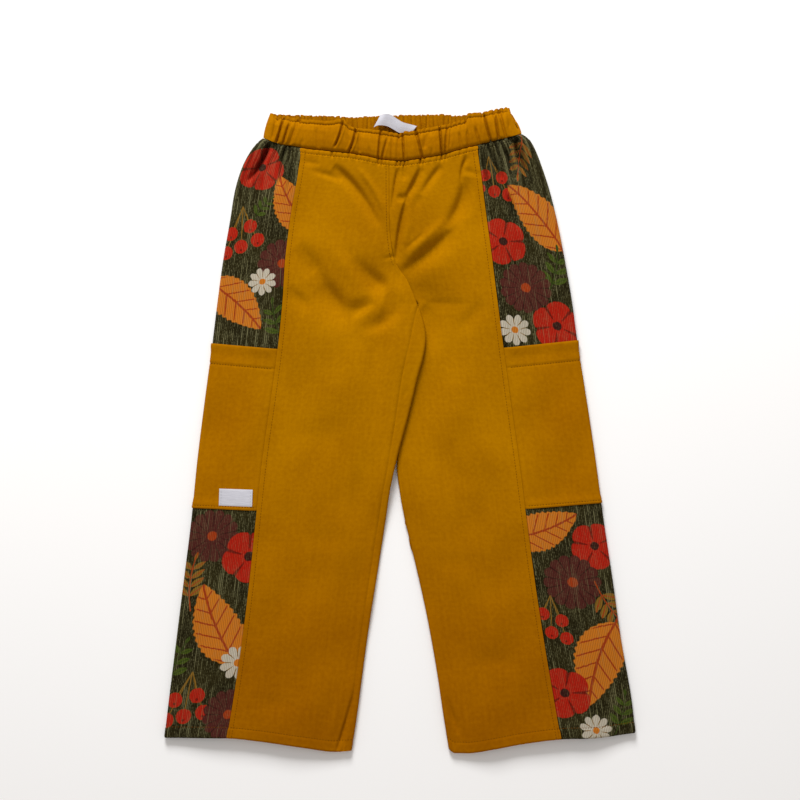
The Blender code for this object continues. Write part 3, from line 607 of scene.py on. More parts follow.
def sheet(name, points, lengths, wall, look, hem=None, flip=False):
    """points and lengths have a row for each level. hem says, from 0 to 1, how far each level is
    turned up to HEM_WALL. flip turns the columns round, where the face would point inwards."""
    if flip:
        points, lengths = points[:, ::-1], lengths[:, ::-1]
    rows, columns = points.shape[:2]
    bpy.ops.mesh.primitive_grid_add(x_subdivisions=columns - 1, y_subdivisions=rows - 1, size=2)
    made = bpy.context.object
    made.name = made.data.name = name
    mesh = made.data
    start = np.zeros(rows * columns * 3)
    mesh.vertices.foreach_get("co", start)
    start = start.reshape(-1, 3)
    i = np.rint((start[:, 0] + 1) / 2 * (columns - 1)).astype(int)
    j = np.rint((start[:, 1] + 1) / 2 * (rows - 1)).astype(int)
    mesh.vertices.foreach_set("co", (points[j, i] * MM).ravel())
    corner = np.zeros(len(mesh.loops), int)
    mesh.loops.foreach_get("vertex_index", corner)
    mesh.uv_layers[0].name = "Cloth"
    mesh.uv_layers["Cloth"].data.foreach_set("uv", (lengths[j, i][corner] * MM).ravel())
    mesh.materials.append(look)
    shell = made.modifiers.new("Wall", "SOLIDIFY")
    shell.thickness = wall * MM
    shell.offset = -1
    if hem is not None:
        group = made.vertex_groups.new(name="Turned up")
        weight = np.round(hem[j], 2)
        for level in np.unique(weight):
            group.add(np.flatnonzero(weight == level).tolist(), float(level), "REPLACE")
        shell.thickness = HEM_WALL * MM
        shell.vertex_group = group.name
        shell.thickness_vertex_group = wall / HEM_WALL
    bpy.ops.object.modifier_apply(modifier=shell.name)
    made.vertex_groups.clear()
    bpy.ops.object.shade_smooth_by_angle(angle=SMOOTH_ANGLE)
    made.select_set(False)
    return made


def grid(x, y, z):
    return np.stack(np.broadcast_arrays(x, y, z), axis=-1)


def finish_panel(piece, node):
    """The piece rides on the body and stands for its solid, which is hidden."""
    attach(piece, "root")
    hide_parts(node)


# %% [markdown]
# ## Materials
# Everything here is woven, so the materials are sums over each sheet's own UV map, which is in
# metres of cloth. A small class lets Python's operators add the Math nodes: u * 3 + v makes two.


# %% Sums of nodes
class Field:
    """A number that varies over a surface."""

    def __init__(self, tree, source):
        self.tree, self.source = tree, source

    def math(self, operation, *others):
        node = self.tree.nodes.new("ShaderNodeMath")
        node.operation = operation
        for socket, value in zip(node.inputs, (self, *others)):
            connect(self.tree, value, socket)
        return Field(self.tree, node.outputs[0])

    def __add__(self, other):
        return self.math("ADD", other)

    def __sub__(self, other):
        return self.math("SUBTRACT", other)

    def __mul__(self, other):
        return self.math("MULTIPLY", other)

    def __pow__(self, other):
        return self.math("POWER", other)

    def __rsub__(self, other):
        return (self * -1.0) + other

    __radd__, __rmul__ = __add__, __mul__

    def sine(self):
        return self.math("SINE")

    def size(self):
        return self.math("ABSOLUTE")

    def most(self, other):
        return self.math("MAXIMUM", other)

    def fade(self, start, end):
        """0 at start and 1 at end, smooth at both."""
        node = self.tree.nodes.new("ShaderNodeMapRange")
        node.interpolation_type = "SMOOTHSTEP"
        connect(self.tree, self, node.inputs["Value"])
        node.inputs["From Min"].default_value = start
        node.inputs["From Max"].default_value = end
        return Field(self.tree, node.outputs["Result"])


def connect(tree, value, socket):
    if isinstance(value, Field):
        tree.links.new(value.source, socket)
    elif isinstance(value, bpy.types.NodeSocket):
        tree.links.new(value, socket)
    else:
        socket.default_value = value


def blend(tree, share, first, second):
    """A colour between two: first where share is 0, second where it is 1."""
    node = tree.nodes.new("ShaderNodeMix")
    node.data_type = "RGBA"
    for place, value in ((0, share), (6, first), (7, second)):  # its factor and its two colours
        connect(tree, value, node.inputs[place])
    return node.outputs[2]


def split(tree, vector):
    node = tree.nodes.new("ShaderNodeSeparateXYZ")
    tree.links.new(vector, node.inputs[0])
    return Field(tree, node.outputs[0]), Field(tree, node.outputs[1])


def join(tree, x, y):
    node = tree.nodes.new("ShaderNodeCombineXYZ")
    connect(tree, x, node.inputs[0])
    connect(tree, y, node.inputs[1])
    return node.outputs[0]


def noise(tree, vector, per_metre, detail=2.0, stretch=(1.0, 1.0)):
    """Noise from 0 to 1 with so many features in a metre, closer together along a stretched axis."""
    scale = tree.nodes.new("ShaderNodeMapping")
    tree.links.new(vector, scale.inputs["Vector"])
    scale.inputs["Scale"].default_value = (*stretch, 1.0)
    node = tree.nodes.new("ShaderNodeTexNoise")
    tree.links.new(scale.outputs[0], node.inputs["Vector"])
    node.inputs["Scale"].default_value = per_metre
    node.inputs["Detail"].default_value = detail
    return Field(tree, node.outputs[0])


def new_cloth(name, roughness, sheen, tint, gloss=0.03):
    """A matte material with its UV vector: (material, tree, shader, vector)."""
    made = bpy.data.materials.new(name)
    made.use_nodes = True
    tree = made.node_tree
    shader = tree.nodes["Principled BSDF"]
    settings = {
        "Roughness": roughness,
        "Specular IOR Level": gloss,
        "Specular Tint": tint,
        "Sheen Weight": sheen,
        "Sheen Roughness": 0.45,
        "Sheen Tint": tint,
    }
    for socket, value in settings.items():
        shader.inputs[socket].default_value = value
    lengths = tree.nodes.new("ShaderNodeUVMap")
    lengths.uv_map = "Cloth"
    print("Material:", name)
    return made, tree, shader, lengths.outputs[0]


def relief(tree, shader, height, depth):
    """Height from 0 to 1 as a bump of that depth in metres."""
    node = tree.nodes.new("ShaderNodeBump")
    node.inputs["Distance"].default_value = depth
    node.inputs["Strength"].default_value = 1.0
    connect(tree, height, node.inputs["Height"])
    tree.links.new(node.outputs[0], shader.inputs["Normal"])


TURN = 2 * math.pi

# %% [markdown]
# ### Mustard twill
# Twill shows fine diagonal ribs, each made of short floats of yarn. The ribs are a sine across the
# diagonal, and a second one along it breaks them into floats. Slow noise varies the dye a little,
# and noise stretched along each of the two yarns gives the thicker ones. Painted shade makes the
# twill darker and browner towards the hems and the outer folds, and a little in the waistband. The
# cloth is matte, with hardly any sheen.

# %% Mustard twill
MUSTARD, MUSTARD_DEEP = (0.405, 0.169, 0.0002, 1.0), (0.285, 0.108, 0.0002, 1.0)
# painted shade: the twill's darker, browner colours for the hems, the outer folds and the waistband
SHADED_MUSTARD, SHADED_MUSTARD_DEEP = (0.346, 0.121, 0.0002, 1.0), (0.244, 0.076, 0.0002, 1.0)
TWILL_PITCH = 0.00085
FLOAT_LENGTH = 0.0021
# where the painted shade lies: up the leg, out from the outer folds, and in the waistband
SHADE_LEVELS, SHADE_SIDES = (-0.30, 0.06), (0.02, 0.09)  # heights up the leg, and from its outer fold
BAND_SHADE_LEVELS = (0.288, 0.296)  # where the waistband's cloth begins
YARN_COUNT, YARN_STRETCH = 320, 0.06  # thicker yarns in a metre, and how much slower they vary along
WEAVE_RELIEF = 0.00010


def make_twill():
    made, tree, shader, vector = new_cloth("Mustard twill", 0.9, 0.02, (1.0, 0.45, 0.0, 1.0))
    u, v = split(tree, vector)
    across = (u * 0.80 + v * 0.60) * (TURN / TWILL_PITCH)
    along = (v * 0.80 - u * 0.60) * (TURN / FLOAT_LENGTH)
    ribs = across.sine() * 0.5 + 0.5
    floats = (along + across * 0.5).sine() * 0.5 + 0.5
    weave = ribs * (floats * 0.35 + 0.65)
    dye = noise(tree, vector, 16, 3.0)
    mottle = noise(tree, vector, 260, 2.0)
    warps = noise(tree, vector, YARN_COUNT, 1.0, (1.0, YARN_STRETCH))
    wefts = noise(tree, vector, YARN_COUNT, 1.0, (YARN_STRETCH, 1.0))
    tone = (dye * 0.60 + mottle * 0.42 + warps * 0.17 + wefts * 0.13 + weave * 0.10).fade(0.36, 1.04)
    # painted shade: 1 where the twill takes its darker, browner colours, towards the hems and the outer
    # folds, and at least half in the waistband
    low = 1.0 - v.fade(*SHADE_LEVELS) * (u.size().fade(*SHADE_SIDES) * 0.5 + 0.5)
    low = low.most(v.fade(*BAND_SHADE_LEVELS) * 0.5)
    bright = blend(tree, low, MUSTARD, SHADED_MUSTARD)
    deep = blend(tree, low, MUSTARD_DEEP, SHADED_MUSTARD_DEEP)
    connect(tree, blend(tree, tone, deep, bright), shader.inputs["Base Color"])
    relief(tree, shader, weave * 0.7 + mottle * 0.3, WEAVE_RELIEF)
    return made


TWILL = make_twill()

# %% [markdown]
# ### Motifs of the print
# The side panels carry an all-over print of plants on dark olive: plain oval leaves with veins,
# bunches of berries, red and dark blooms, a few daisies, fronds and sprigs. Each motif is a node
# group that draws one shape round its own middle, from about -1 to 1, from sums of x and y. No
# picture is needed, and its edges stay sharp at any size.

# %% Motifs as node groups
ORANGE, RUST = (0.500, 0.150, 0.012, 1.0), (0.300, 0.036, 0.006, 1.0)
RED, RED_DEEP = (0.370, 0.012, 0.005, 1.0), (0.150, 0.007, 0.004, 1.0)
CREAM, OCHRE = (0.470, 0.420, 0.330, 1.0), (0.200, 0.100, 0.012, 1.0)
PLUM, PLUM_DEEP = (0.070, 0.015, 0.012, 1.0), (0.034, 0.008, 0.007, 1.0)
GREEN, GREEN_DEEP = (0.050, 0.075, 0.008, 1.0), (0.025, 0.042, 0.006, 1.0)
LEAF_TEETH, LEAF_VEINS = 44.0, 3.1  # angle of the toothed edge, and veins, in a unit of length


def motif(name, draw):
    """A node group from a drawing: draw takes x and y and gives a colour and what it covers."""
    tree = bpy.data.node_groups.new(name, "ShaderNodeTree")
    tree.interface.new_socket("Place", in_out="INPUT", socket_type="NodeSocketVector")
    tree.interface.new_socket("Colour", in_out="OUTPUT", socket_type="NodeSocketColor")
    tree.interface.new_socket("Cover", in_out="OUTPUT", socket_type="NodeSocketFloat")
    enter, leave = tree.nodes.new("NodeGroupInput"), tree.nodes.new("NodeGroupOutput")
    x, y = split(tree, enter.outputs[0])
    colour, cover = draw(tree, x, y)
    connect(tree, colour, leave.inputs[0])
    connect(tree, cover, leave.inputs[1])
    return tree


def draw_leaf(tree, x, y):
    """An oval leaf with a pointed tip, a fine toothed edge, a midrib and slanting veins."""
    bend = x - y * y * 0.10
    side = bend.size()
    body = (1.0 - y * y).most(0.0)
    width = body**0.72 * (0.50 - y * 0.16) + (y * LEAF_TEETH).sine() * body * 0.02
    blade = (width - side).fade(0.0, 0.035)
    stalk = (0.032 - side).fade(0.0, 0.02) * (y + 1.5).fade(0.0, 0.05) * (-0.6 - y).fade(0.0, 0.05)
    beat = (y - side * 0.85) * LEAF_VEINS
    vein = 0.030 - (beat - beat.math("ROUND")).size() * (1 / LEAF_VEINS)
    veins = vein.fade(0.0, 0.018) * (width * 0.9 - side).fade(0.0, 0.04)
    midrib = (0.036 - side).fade(0.0, 0.02)
    lines = veins.most(midrib).most(stalk * (1.0 - blade))
    return blend(tree, lines, ORANGE, RUST), blade.most(stalk)


def petals(count, notch, heart, colours):
    """A round bloom with so many petals: colours are the petals', the lines', and the heart's."""
    petal, line, middle = colours

    def draw(tree, x, y):
        radius = (x * x + y * y).math("SQRT")
        lobe = (y.math("ARCTAN2", x) * (count / 2)).math("COSINE").size()
        cover = (lobe**0.55 * notch + (1.0 - notch) - radius).fade(0.0, 0.05)
        between = (0.30 - lobe).fade(0.0, 0.2) * radius.fade(heart, heart + 0.15)
        colour = blend(tree, between, petal, line)
        return blend(tree, (heart - radius).fade(0.0, 0.05), colour, middle), cover

    return draw


BERRY_PLACES = ((-0.42, 0.06), (0.30, 0.22), (-0.06, -0.48), (0.56, -0.34), (-0.62, -0.62))
BERRY_RADIUS = 0.27
STEM_TOP = (0.05, 1.0)


def draw_berries(tree, x, y):
    """Round berries that hang from one point, each with a dark tip and a lighter side."""
    fruit, stems, dark = None, None, None
    for bx, by in BERRY_PLACES:
        away = ((x - bx) ** 2.0 + (y - by) ** 2.0).math("SQRT")
        tip = ((x - bx) ** 2.0 + (y - (by - 0.13)) ** 2.0).math("SQRT")
        berry = (BERRY_RADIUS - away).fade(0.0, 0.03)
        spot = (0.055 - tip).fade(0.0, 0.02)
        ex, ey = bx - STEM_TOP[0], by - STEM_TOP[1]
        share = ((x - STEM_TOP[0]) * ex + (y - STEM_TOP[1]) * ey) * (1 / (ex * ex + ey * ey))
        share = share.math("MAXIMUM", 0.0).math("MINIMUM", 1.0)
        off_x, off_y = x - STEM_TOP[0] - share * ex, y - STEM_TOP[1] - share * ey
        stem = (0.028 - (off_x * off_x + off_y * off_y).math("SQRT")).fade(0.0, 0.02)
        fruit = berry if fruit is None else fruit.most(berry)
        stems = stem if stems is None else stems.most(stem)
        dark = spot if dark is None else dark.most(spot)
    colour = blend(tree, dark, RED, RED_DEEP)
    return blend(tree, fruit, OCHRE, colour), fruit.most(stems)


def frond(pairs, colours):
    """A stem with so many pairs of slanting leaflets that get shorter towards its tip."""
    leaflet, line = colours

    def draw(tree, x, y):
        side = (x - y * y * 0.12).size()
        stem = (0.035 - side).fade(0.0, 0.02) * (1.15 - y.size()).fade(0.0, 0.05)
        cover, ribs = stem, stem
        for k in range(pairs + 1):
            at, tip = -0.55 + 1.35 * k / pairs, k == pairs
            length = (0.30 if tip else 0.36) - 0.12 * k / pairs
            turn = 0.0 if tip else 0.9
            off_x, off_y = side - length * math.sin(turn), y - at - length * math.cos(turn)
            along = off_x * (math.sin(turn) / length) + off_y * (math.cos(turn) / length)
            across = (off_x * (math.cos(turn) / length) - off_y * (math.sin(turn) / length)).size()
            blade = (0.40 - across - along * along * 0.40).fade(0.0, 0.07)
            cover = cover.most(blade)
            ribs = ribs.most((0.07 - across).fade(0.0, 0.04) * blade)
        return blend(tree, ribs, leaflet, line), cover

    return draw


MOTIFS = {
    "leaf": motif("Oval leaf", draw_leaf),
    "berries": motif("Berries", draw_berries),
    "daisy": motif("Daisy", petals(9, 0.42, 0.24, (CREAM, OCHRE, ORANGE))),
    "poppy": motif("Red bloom", petals(5, 0.20, 0.20, (RED, RED_DEEP, PLUM_DEEP))),
    "bloom": motif("Dark bloom", petals(14, 0.14, 0.20, (PLUM, PLUM_DEEP, RUST))),
    "frond": motif("Ochre frond", frond(4, (OCHRE, RUST))),
    "sprig": motif("Green sprig", frond(3, (GREEN, GREEN_DEEP))),
}
print("Motifs:", ", ".join(MOTIFS))

# %% [markdown]
# ### Printed corduroy
# Fine corduroy has upright pile ribs, the wales, with a groove between them. The print sits on the
# pile, so the unprinted ground shows as short pale lines, broken differently in each wale: noise
# that is read along the wale, at a place of its own for each wale's number. The grooves are painted
# darker as shade. Below the waistband, noise paints the gathers with pale highlights on their ridges
# and shade in their hollows. The motifs are laid out by a table: u is the length of cloth from the
# outer fold, over the front above zero and underneath below it, and v is the height up the leg.

# %% Printed corduroy
OLIVE, OLIVE_DEEP = (0.0230, 0.0180, 0.0048, 1.0), (0.0130, 0.0100, 0.0030, 1.0)
# PALE is the unprinted ground's colour and also the painted highlight on the gathers; the second colour
# is painted shade for the grooves and the gathers' hollows
PALE, PAINTED_GROOVE_SHADE = (0.200, 0.188, 0.088, 1.0), (0.006, 0.005, 0.0022, 1.0)
WALE_PITCH, PILE_RELIEF = 0.0017, 0.00035
DASHES, LONG_WALES = 75, 16  # changes from pale to dark in a metre of one wale
# the painted light and shade of the gathers below the band
PLEATS_ACROSS, PLEATS_ALONG = 240, 14  # changes in a metre of the gathers below the band
GATHERED_LEVELS = (0.215, 0.292)  # where they begin to show, and where they are strongest
PRINT_COLUMNS = ("u", "v", "turn", "size", "motif")
PRINT_ROWS = {
    "left": (
        (26, 262, 150, 24, "poppy"),
        (64, 226, 35, 37, "leaf"),
        (18, 196, 10, 27, "berries"),
        (62, 166, 0, 25, "bloom"),
        (20, 128, -130, 38, "leaf"),
        (60, 108, 20, 22, "sprig"),
        (34, 222, -35, 15, "sprig"),
        (44, 148, 30, 14, "daisy"),
        (24, -106, 0, 27, "bloom"),
        (62, -126, 200, 27, "poppy"),
        (8, -152, 0, 26, "frond"),
        (38, -196, 28, 45, "leaf"),
        (4, -232, -15, 24, "sprig"),
        (64, -232, 0, 18, "daisy"),
        (20, -272, 0, 30, "berries"),
        (62, -284, 40, 26, "bloom"),
        (-44, 236, 60, 30, "leaf"),
        (-34, 150, 10, 24, "poppy"),
        (-38, -130, -40, 34, "leaf"),
        (-36, -270, 20, 26, "bloom"),
    ),
    "right": (
        (26, 272, -150, 24, "frond"),
        (64, 252, 5, 26, "berries"),
        (22, 214, -35, 40, "leaf"),
        (62, 188, 0, 24, "poppy"),
        (14, 158, 20, 24, "sprig"),
        (46, 142, 40, 26, "bloom"),
        (20, 104, 100, 25, "poppy"),
        (62, 100, 30, 16, "daisy"),
        (60, -100, 70, 37, "leaf"),
        (14, -116, -25, 24, "poppy"),
        (40, -152, 0, 28, "bloom"),
        (8, -178, 150, 26, "frond"),
        (66, -190, 10, 25, "berries"),
        (28, -232, -155, 46, "leaf"),
        (64, -262, 0, 26, "poppy"),
        (12, -286, 20, 22, "sprig"),
        (40, -300, 20, 16, "daisy"),
        (-36, 230, -60, 34, "leaf"),
        (-34, 130, 0, 24, "poppy"),
        (-38, -140, 40, 34, "leaf"),
        (-36, -260, 20, 24, "bloom"),
    ),
}


def make_corduroy(side):
    name = f"Printed corduroy {side}"
    made, tree, shader, vector = new_cloth(name, 0.95, 0.04, (0.75, 0.66, 0.40, 1.0))
    u, v = split(tree, vector)
    dye = noise(tree, vector, 30, 3.0)
    colour = blend(tree, dye.fade(0.35, 0.65), OLIVE_DEEP, OLIVE)
    fray = noise(tree, vector, 420, 1.0, (1.0, 0.3))
    frayed = join(tree, u + (fray - 0.5) * 0.0012, v + (fray - 0.5) * 0.0016)
    print_cover = None
    for row in named(PRINT_ROWS[side], PRINT_COLUMNS):
        place = tree.nodes.new("ShaderNodeMapping")
        place.vector_type = "TEXTURE"
        tree.links.new(frayed, place.inputs["Vector"])
        place.inputs["Location"].default_value = (row["u"] * MM, row["v"] * MM, 0)
        place.inputs["Rotation"].default_value = (0, 0, math.radians(row["turn"]))
        place.inputs["Scale"].default_value = (row["size"] * MM,) * 3
        stamp = tree.nodes.new("ShaderNodeGroup")
        stamp.node_tree = MOTIFS[row["motif"]]
        tree.links.new(place.outputs[0], stamp.inputs[0])
        colour = blend(tree, stamp.outputs[1], colour, stamp.outputs[0])
        cover = Field(tree, stamp.outputs[1])
        print_cover = cover if print_cover is None else print_cover.most(cover)
    waver = noise(tree, vector, 45, 1.0)
    count = (u + waver * 0.0010) * (1 / WALE_PITCH)
    number = count.math("FLOOR")
    wale = ((count - number) * math.pi).sine()
    dashes = noise(tree, join(tree, number * 7.31, v * DASHES), 1.0, 3.0)
    specks = noise(tree, vector, 1300, 2.0, (1.0, 0.35))
    lighter = noise(tree, join(tree, number * 3.17, v * LONG_WALES), 1.0, 1.0).fade(0.52, 0.72)
    worn = (dashes * 0.45 + specks * 0.60 + lighter * 0.16).fade(0.46, 0.74) * wale.fade(0.25, 0.85)
    # painted light and shade of the gathers below the band: highlights where the noise is high, shade
    # where it is low
    across = (u + waver * 0.004) * PLEATS_ACROSS
    fold_light_noise = noise(tree, join(tree, across, v * PLEATS_ALONG), 1.0, 2.0)
    gathered = v.fade(*GATHERED_LEVELS)
    painted_fold_highlight = fold_light_noise.fade(0.50, 0.72) * gathered
    painted_fold_shade = (1.0 - fold_light_noise).fade(0.48, 0.70) * gathered
    # the unprinted ground's pale lines, and the painted highlights on the gathers
    share = (worn * 0.9 + painted_fold_highlight * 0.80) * (0.66 - print_cover * 0.36) * (1.0 - painted_fold_shade * 0.8)
    # painted shade in the grooves between the wales and in the gathers' hollows
    painted_shade = (1.0 - wale).fade(0.15, 1.0) * (0.60 - print_cover * 0.25)
    painted_shade = painted_shade.most(painted_fold_shade * 0.88)
    ribbed = blend(tree, share, blend(tree, painted_shade, colour, PAINTED_GROOVE_SHADE), PALE)
    connect(tree, ribbed, shader.inputs["Base Color"])
    relief(tree, shader, wale**0.6 + dashes * 0.3, PILE_RELIEF)
    return made


CORDUROY = {side: make_corduroy(side) for side in ("left", "right")}
print("Motifs in the print:", sum(len(rows) for rows in PRINT_ROWS.values()))

# %% [markdown]
# ### Labels and thread
# A woven label is a smooth white satin ribbon: very fine ribs across it and a soft gloss. It is
# blank here. Topstitching thread is a little darker than the twill, and twisted.

# %% Woven label and threads
LABEL_WHITE, LABEL_SHADE = (0.560, 0.560, 0.610, 1.0), (0.450, 0.450, 0.500, 1.0)
RIB_PITCH, PLY_PITCH = 0.0006, 0.0007
FINE_RELIEF = 0.00006
SATIN = 0.3  # their gloss


def make_label():
    made, tree, shader, vector = new_cloth("Woven label", 0.55, 0.05, (1.0, 1.0, 1.0, 1.0), SATIN)
    _, v = split(tree, vector)
    ribs = (v * (TURN / RIB_PITCH)).sine() * 0.5 + 0.5
    yarns = noise(tree, vector, 900, 1.0, (0.12, 1.0))
    tone = (ribs * 0.3 + yarns * 0.9).fade(0.3, 1.0)
    connect(tree, blend(tree, tone, LABEL_SHADE, LABEL_WHITE), shader.inputs["Base Color"])
    relief(tree, shader, ribs * 0.5 + yarns * 0.5, FINE_RELIEF)
    return made


def make_thread(name, colour):
    made, tree, shader, vector = new_cloth(name, 0.6, 0.1, colour, SATIN)
    u, v = split(tree, vector)
    ply = ((u + v * 0.5) * (TURN / PLY_PITCH)).sine() * 0.5 + 0.5
    deep = tuple(c * 0.55 for c in colour[:3]) + (1.0,)
    connect(tree, blend(tree, ply, deep, colour), shader.inputs["Base Color"])
    relief(tree, shader, ply, FINE_RELIEF)
    return made


LABEL = make_label()
THREAD = make_thread("Topstitching thread", (0.165, 0.054, 0.0010, 1.0))
WHITE_THREAD = make_thread("White thread", (0.50, 0.50, 0.53, 1.0))

# %% [markdown]
# ## Leg panels
# Each leg has a front and a back panel of twill. The cloth on the mustard side of a seam is turned
# under and topstitched, so its edge is rolled and lies a little proud, while its neighbour dips and
# runs on a millimetre beneath it. That closes the seam to the eye, as the real one is closed.

# %% Front and back panels
ROLL = 0.8  # how far an edge curls down at a seam
PROUD = 0.45  # how far the turned-in cloth lifts the panel beside a seam
INNER_ROLL, INNER_PROUD, HEM_PROUD = 0.6, 0.3, 0.35  # the same at an inner edge or hem
STITCH_IN = 5.5  # from the side seam to its topstitching
FELL_IN = 3.2  # from the left front's inner edge to its stitching
HEM_STITCH = HEM_DEPTH - 1.5  # from a hem's edge up to its stitching
GROOVE = 0.3  # how deep a seam's stitching pulls the cloth in
WAIST_STITCH_DROP = 5.0  # from the waist seam down to its topstitching
INTO_BAND = 2.8  # how far the panels' tops run on and dip beneath the waistband
FINE_EDGE = 1.6  # width of the finest columns, at a seam's rolled edge
HEM_GROOVE = 1.6  # a hem's stitching pulls in this many times as deep
FELL_DIP = 1.3  # how far the right front dips at the centre seam


def groove(distance, at, width=0.9):
    """How deep the stitching pulls the cloth in, at a distance from an edge."""
    return GROOVE * hump(distance, at, width)


def hem_relief(y):
    """The turned-up hem is thicker, pulled in at its stitching and curled at its edge."""
    up = y - HEM_Y
    thicker = HEM_PROUD * fall(up, 10, 14)
    return HEM_GROOVE * groove(up, HEM_STITCH) - thicker + INNER_ROLL * fall(up, 0, 1.4)


def turned_up(y):
    return fall(y - HEM_Y, HEM_DEPTH - 0.5, HEM_DEPTH + 0.5)


def cloth_map(along, y):
    """Where each point lies on the flat cloth: across from the outer fold, and its level."""
    return grid(along, y[:, None], 0)[..., :2]


def tuck_in(y):
    """A panel's top dips and runs in beneath the waistband, and its first stitching pulls it in."""
    below = WAIST_Y - y
    welt = ease(below, 0.6, 2) * fall(below, 5, 8)
    stitched = 1.5 * groove(below, WAIST_STITCH_DROP, 0.8)
    return INTO_BAND * fall(below, -0.6, 0.9) + stitched - HEM_PROUD * welt


def front_panel(side):
    y = levels(WAIST_Y + INTO_BAND)
    seamed = ease(y, *DIP_LEVELS)
    reach = UNDER * seamed if side == "right" else np.zeros_like(y)
    start = length_to_seam(side, y)
    end = length_to_inner(side, y, "front") + reach - wrap(side, y)
    stops = (start, start + FINE_EDGE, start + 9, end - 12, end - FINE_EDGE, end)
    along = spaced(stops, (3, 8, 84, 10, 4))
    from_seam, from_end = along - start[:, None], end[:, None] - along
    depth = ROLL * fall(from_seam, 0, FINE_EDGE) + groove(from_seam, STITCH_IN)
    depth -= PROUD * ease(from_seam, 0.4, 2) * fall(from_seam, 4.5, 9)
    below = fall(y, CROTCH_Y - 4, CROTCH_Y + 4)[:, None]
    rolled = INNER_ROLL * fall(from_end, 0, FINE_EDGE)
    if side == "left":
        depth += rolled - INNER_PROUD * ease(from_end, 0.4, 2) * fall(from_end, 3, 7)
        depth += groove(from_end, FELL_IN) * (1 - below)
    else:
        depth += rolled * below
        depth += FELL_DIP * fall(from_end, 0.6, 2.4) * seamed[:, None]
    depth += (hem_relief(y) + tuck_in(y))[:, None]
    points = grid(*tube(side, y[:, None], along, depth, reach[:, None]))
    name = f"front_panel_{side}"
    return sheet(name, points, cloth_map(along, y), WALL, TWILL, turned_up(y), side == "right")


def back_panel(side):
    y = levels(WAIST_Y)
    start = length_to_back(side, y) + SEAM_GAP
    total = length_to_inner(side, y, "back")
    wrapped = fall(y, CROTCH_Y - 6, CROTCH_Y)
    end = total + wrap(side, y) + UNDER * wrapped - SEAM_GAP
    bend = np.minimum(total - 9, end - 8)
    along = spaced((start, bend, end - 3, end), (26, 16, 4))
    depth = UNDER * fall(end[:, None] - along, 0, 2.6) * wrapped[:, None]
    along = -along[:, ::-1]
    points = grid(*tube(side, y[:, None], along, depth[:, ::-1]))
    name = f"back_panel_{side}"
    return sheet(name, points, cloth_map(along, y), WALL, TWILL, turned_up(y), side == "right")


for side in ("left", "right"):
    back = back_panel(side)
    finish_panel(back, f"back_{side}")
    finish_panel(front_panel(side), f"front_{side}")

# %% [markdown]
# ## Side panels and pockets
# The corduroy goes from the front seam round the outer fold to the back. The pocket is a patch on
# top of it, caught in the same two seams. At its free edges, top and bottom, the patch lies over
# the panel; a finger's width in, the two have settled, so there it is the panel that gives way.


# %% Side panels
def pocket_edge(side, share, which):
    """Level of the pocket's top or bottom edge at a share of the way from the fold to its seams."""
    patch = dict(zip(POCKET_COLUMNS, POCKET_ROWS[side]))
    return patch[which] + patch[which + "_climb"] * (1 - share)


def share_out(along, over, beneath):
    """0 at the outer fold, 1 at the front or back seam."""
    return np.clip(np.where(along > 0, along / over, -along / beneath), 0, 1)


def pocket_raise(side, y, along, over, beneath):
    """How high the patch lies over its settled place: all at its free edges, less at its seams,
    nothing underneath, where it lies on the floor. Also how far in from its free edges it is."""
    share = share_out(along, over, beneath)
    from_top = pocket_edge(side, share, "top") - y
    from_bottom = y - pocket_edge(side, share, "bottom")
    free = fall(np.minimum(from_top, from_bottom), 0, RAISE_FADE)
    free = free * ease(over - along, 0, 7) * ease(along, -0.6 * edge_height(y), 0)
    return POCKET_RAISE * free, np.minimum(from_top, from_bottom)


GATHER_FROM = 170.0  # above this level the side panels narrow towards the waist
UNDER_PATCH = 0.15  # between a settled pocket and the panel below it


def side_columns(side, y, counts):
    """Columns from the back seam round the outer fold to beneath the front panel, with the lengths
    over to the front seam and under to the back one."""
    over, beneath = length_to_seam(side, y), length_to_back(side, y) - SEAM_GAP
    quarter = np.pi / 2 * edge_height(y) / 2
    along = spaced((-beneath, -quarter, quarter, over - 6, over + UNDER), counts)
    return along, over, beneath


def side_panel(side):
    """The cloth's lengths are stretched across the grain where the waist gathers it, so the wales
    close up."""
    y = levels(WAIST_Y + INTO_BAND)
    along, over, beneath = side_columns(side, y, (14, 10, 46, 10))
    over = over[:, None]
    raised, inside = pocket_raise(side, y[:, None], along, over, beneath[:, None])
    sunk = (POCKET_RAISE + UNDER_PATCH - raised) * ease(inside, -3, 0)
    dip = UNDER * fall(over - along, -UNDER, 1.5)
    depth = sunk + dip + (hem_relief(y) + tuck_in(y))[:, None]
    depth = np.where(along < 0, np.maximum(depth, 0), depth)
    points = grid(*tube(side, y[:, None], along, depth))
    lengths = cloth_map(along * length_to_seam(side, GATHER_FROM) / over, y)
    name, look = f"side_panel_{side}", CORDUROY[side]
    return sheet(name, points, lengths, CORD_WALL, look, turned_up(y), side == "right")


# %% Patch pockets
POCKET_STITCH = 3.0  # from the lower edge to its stitching
POCKET_ROLL, POCKET_PROUD = 0.5, 0.25  # at its free edges, and over its top hem


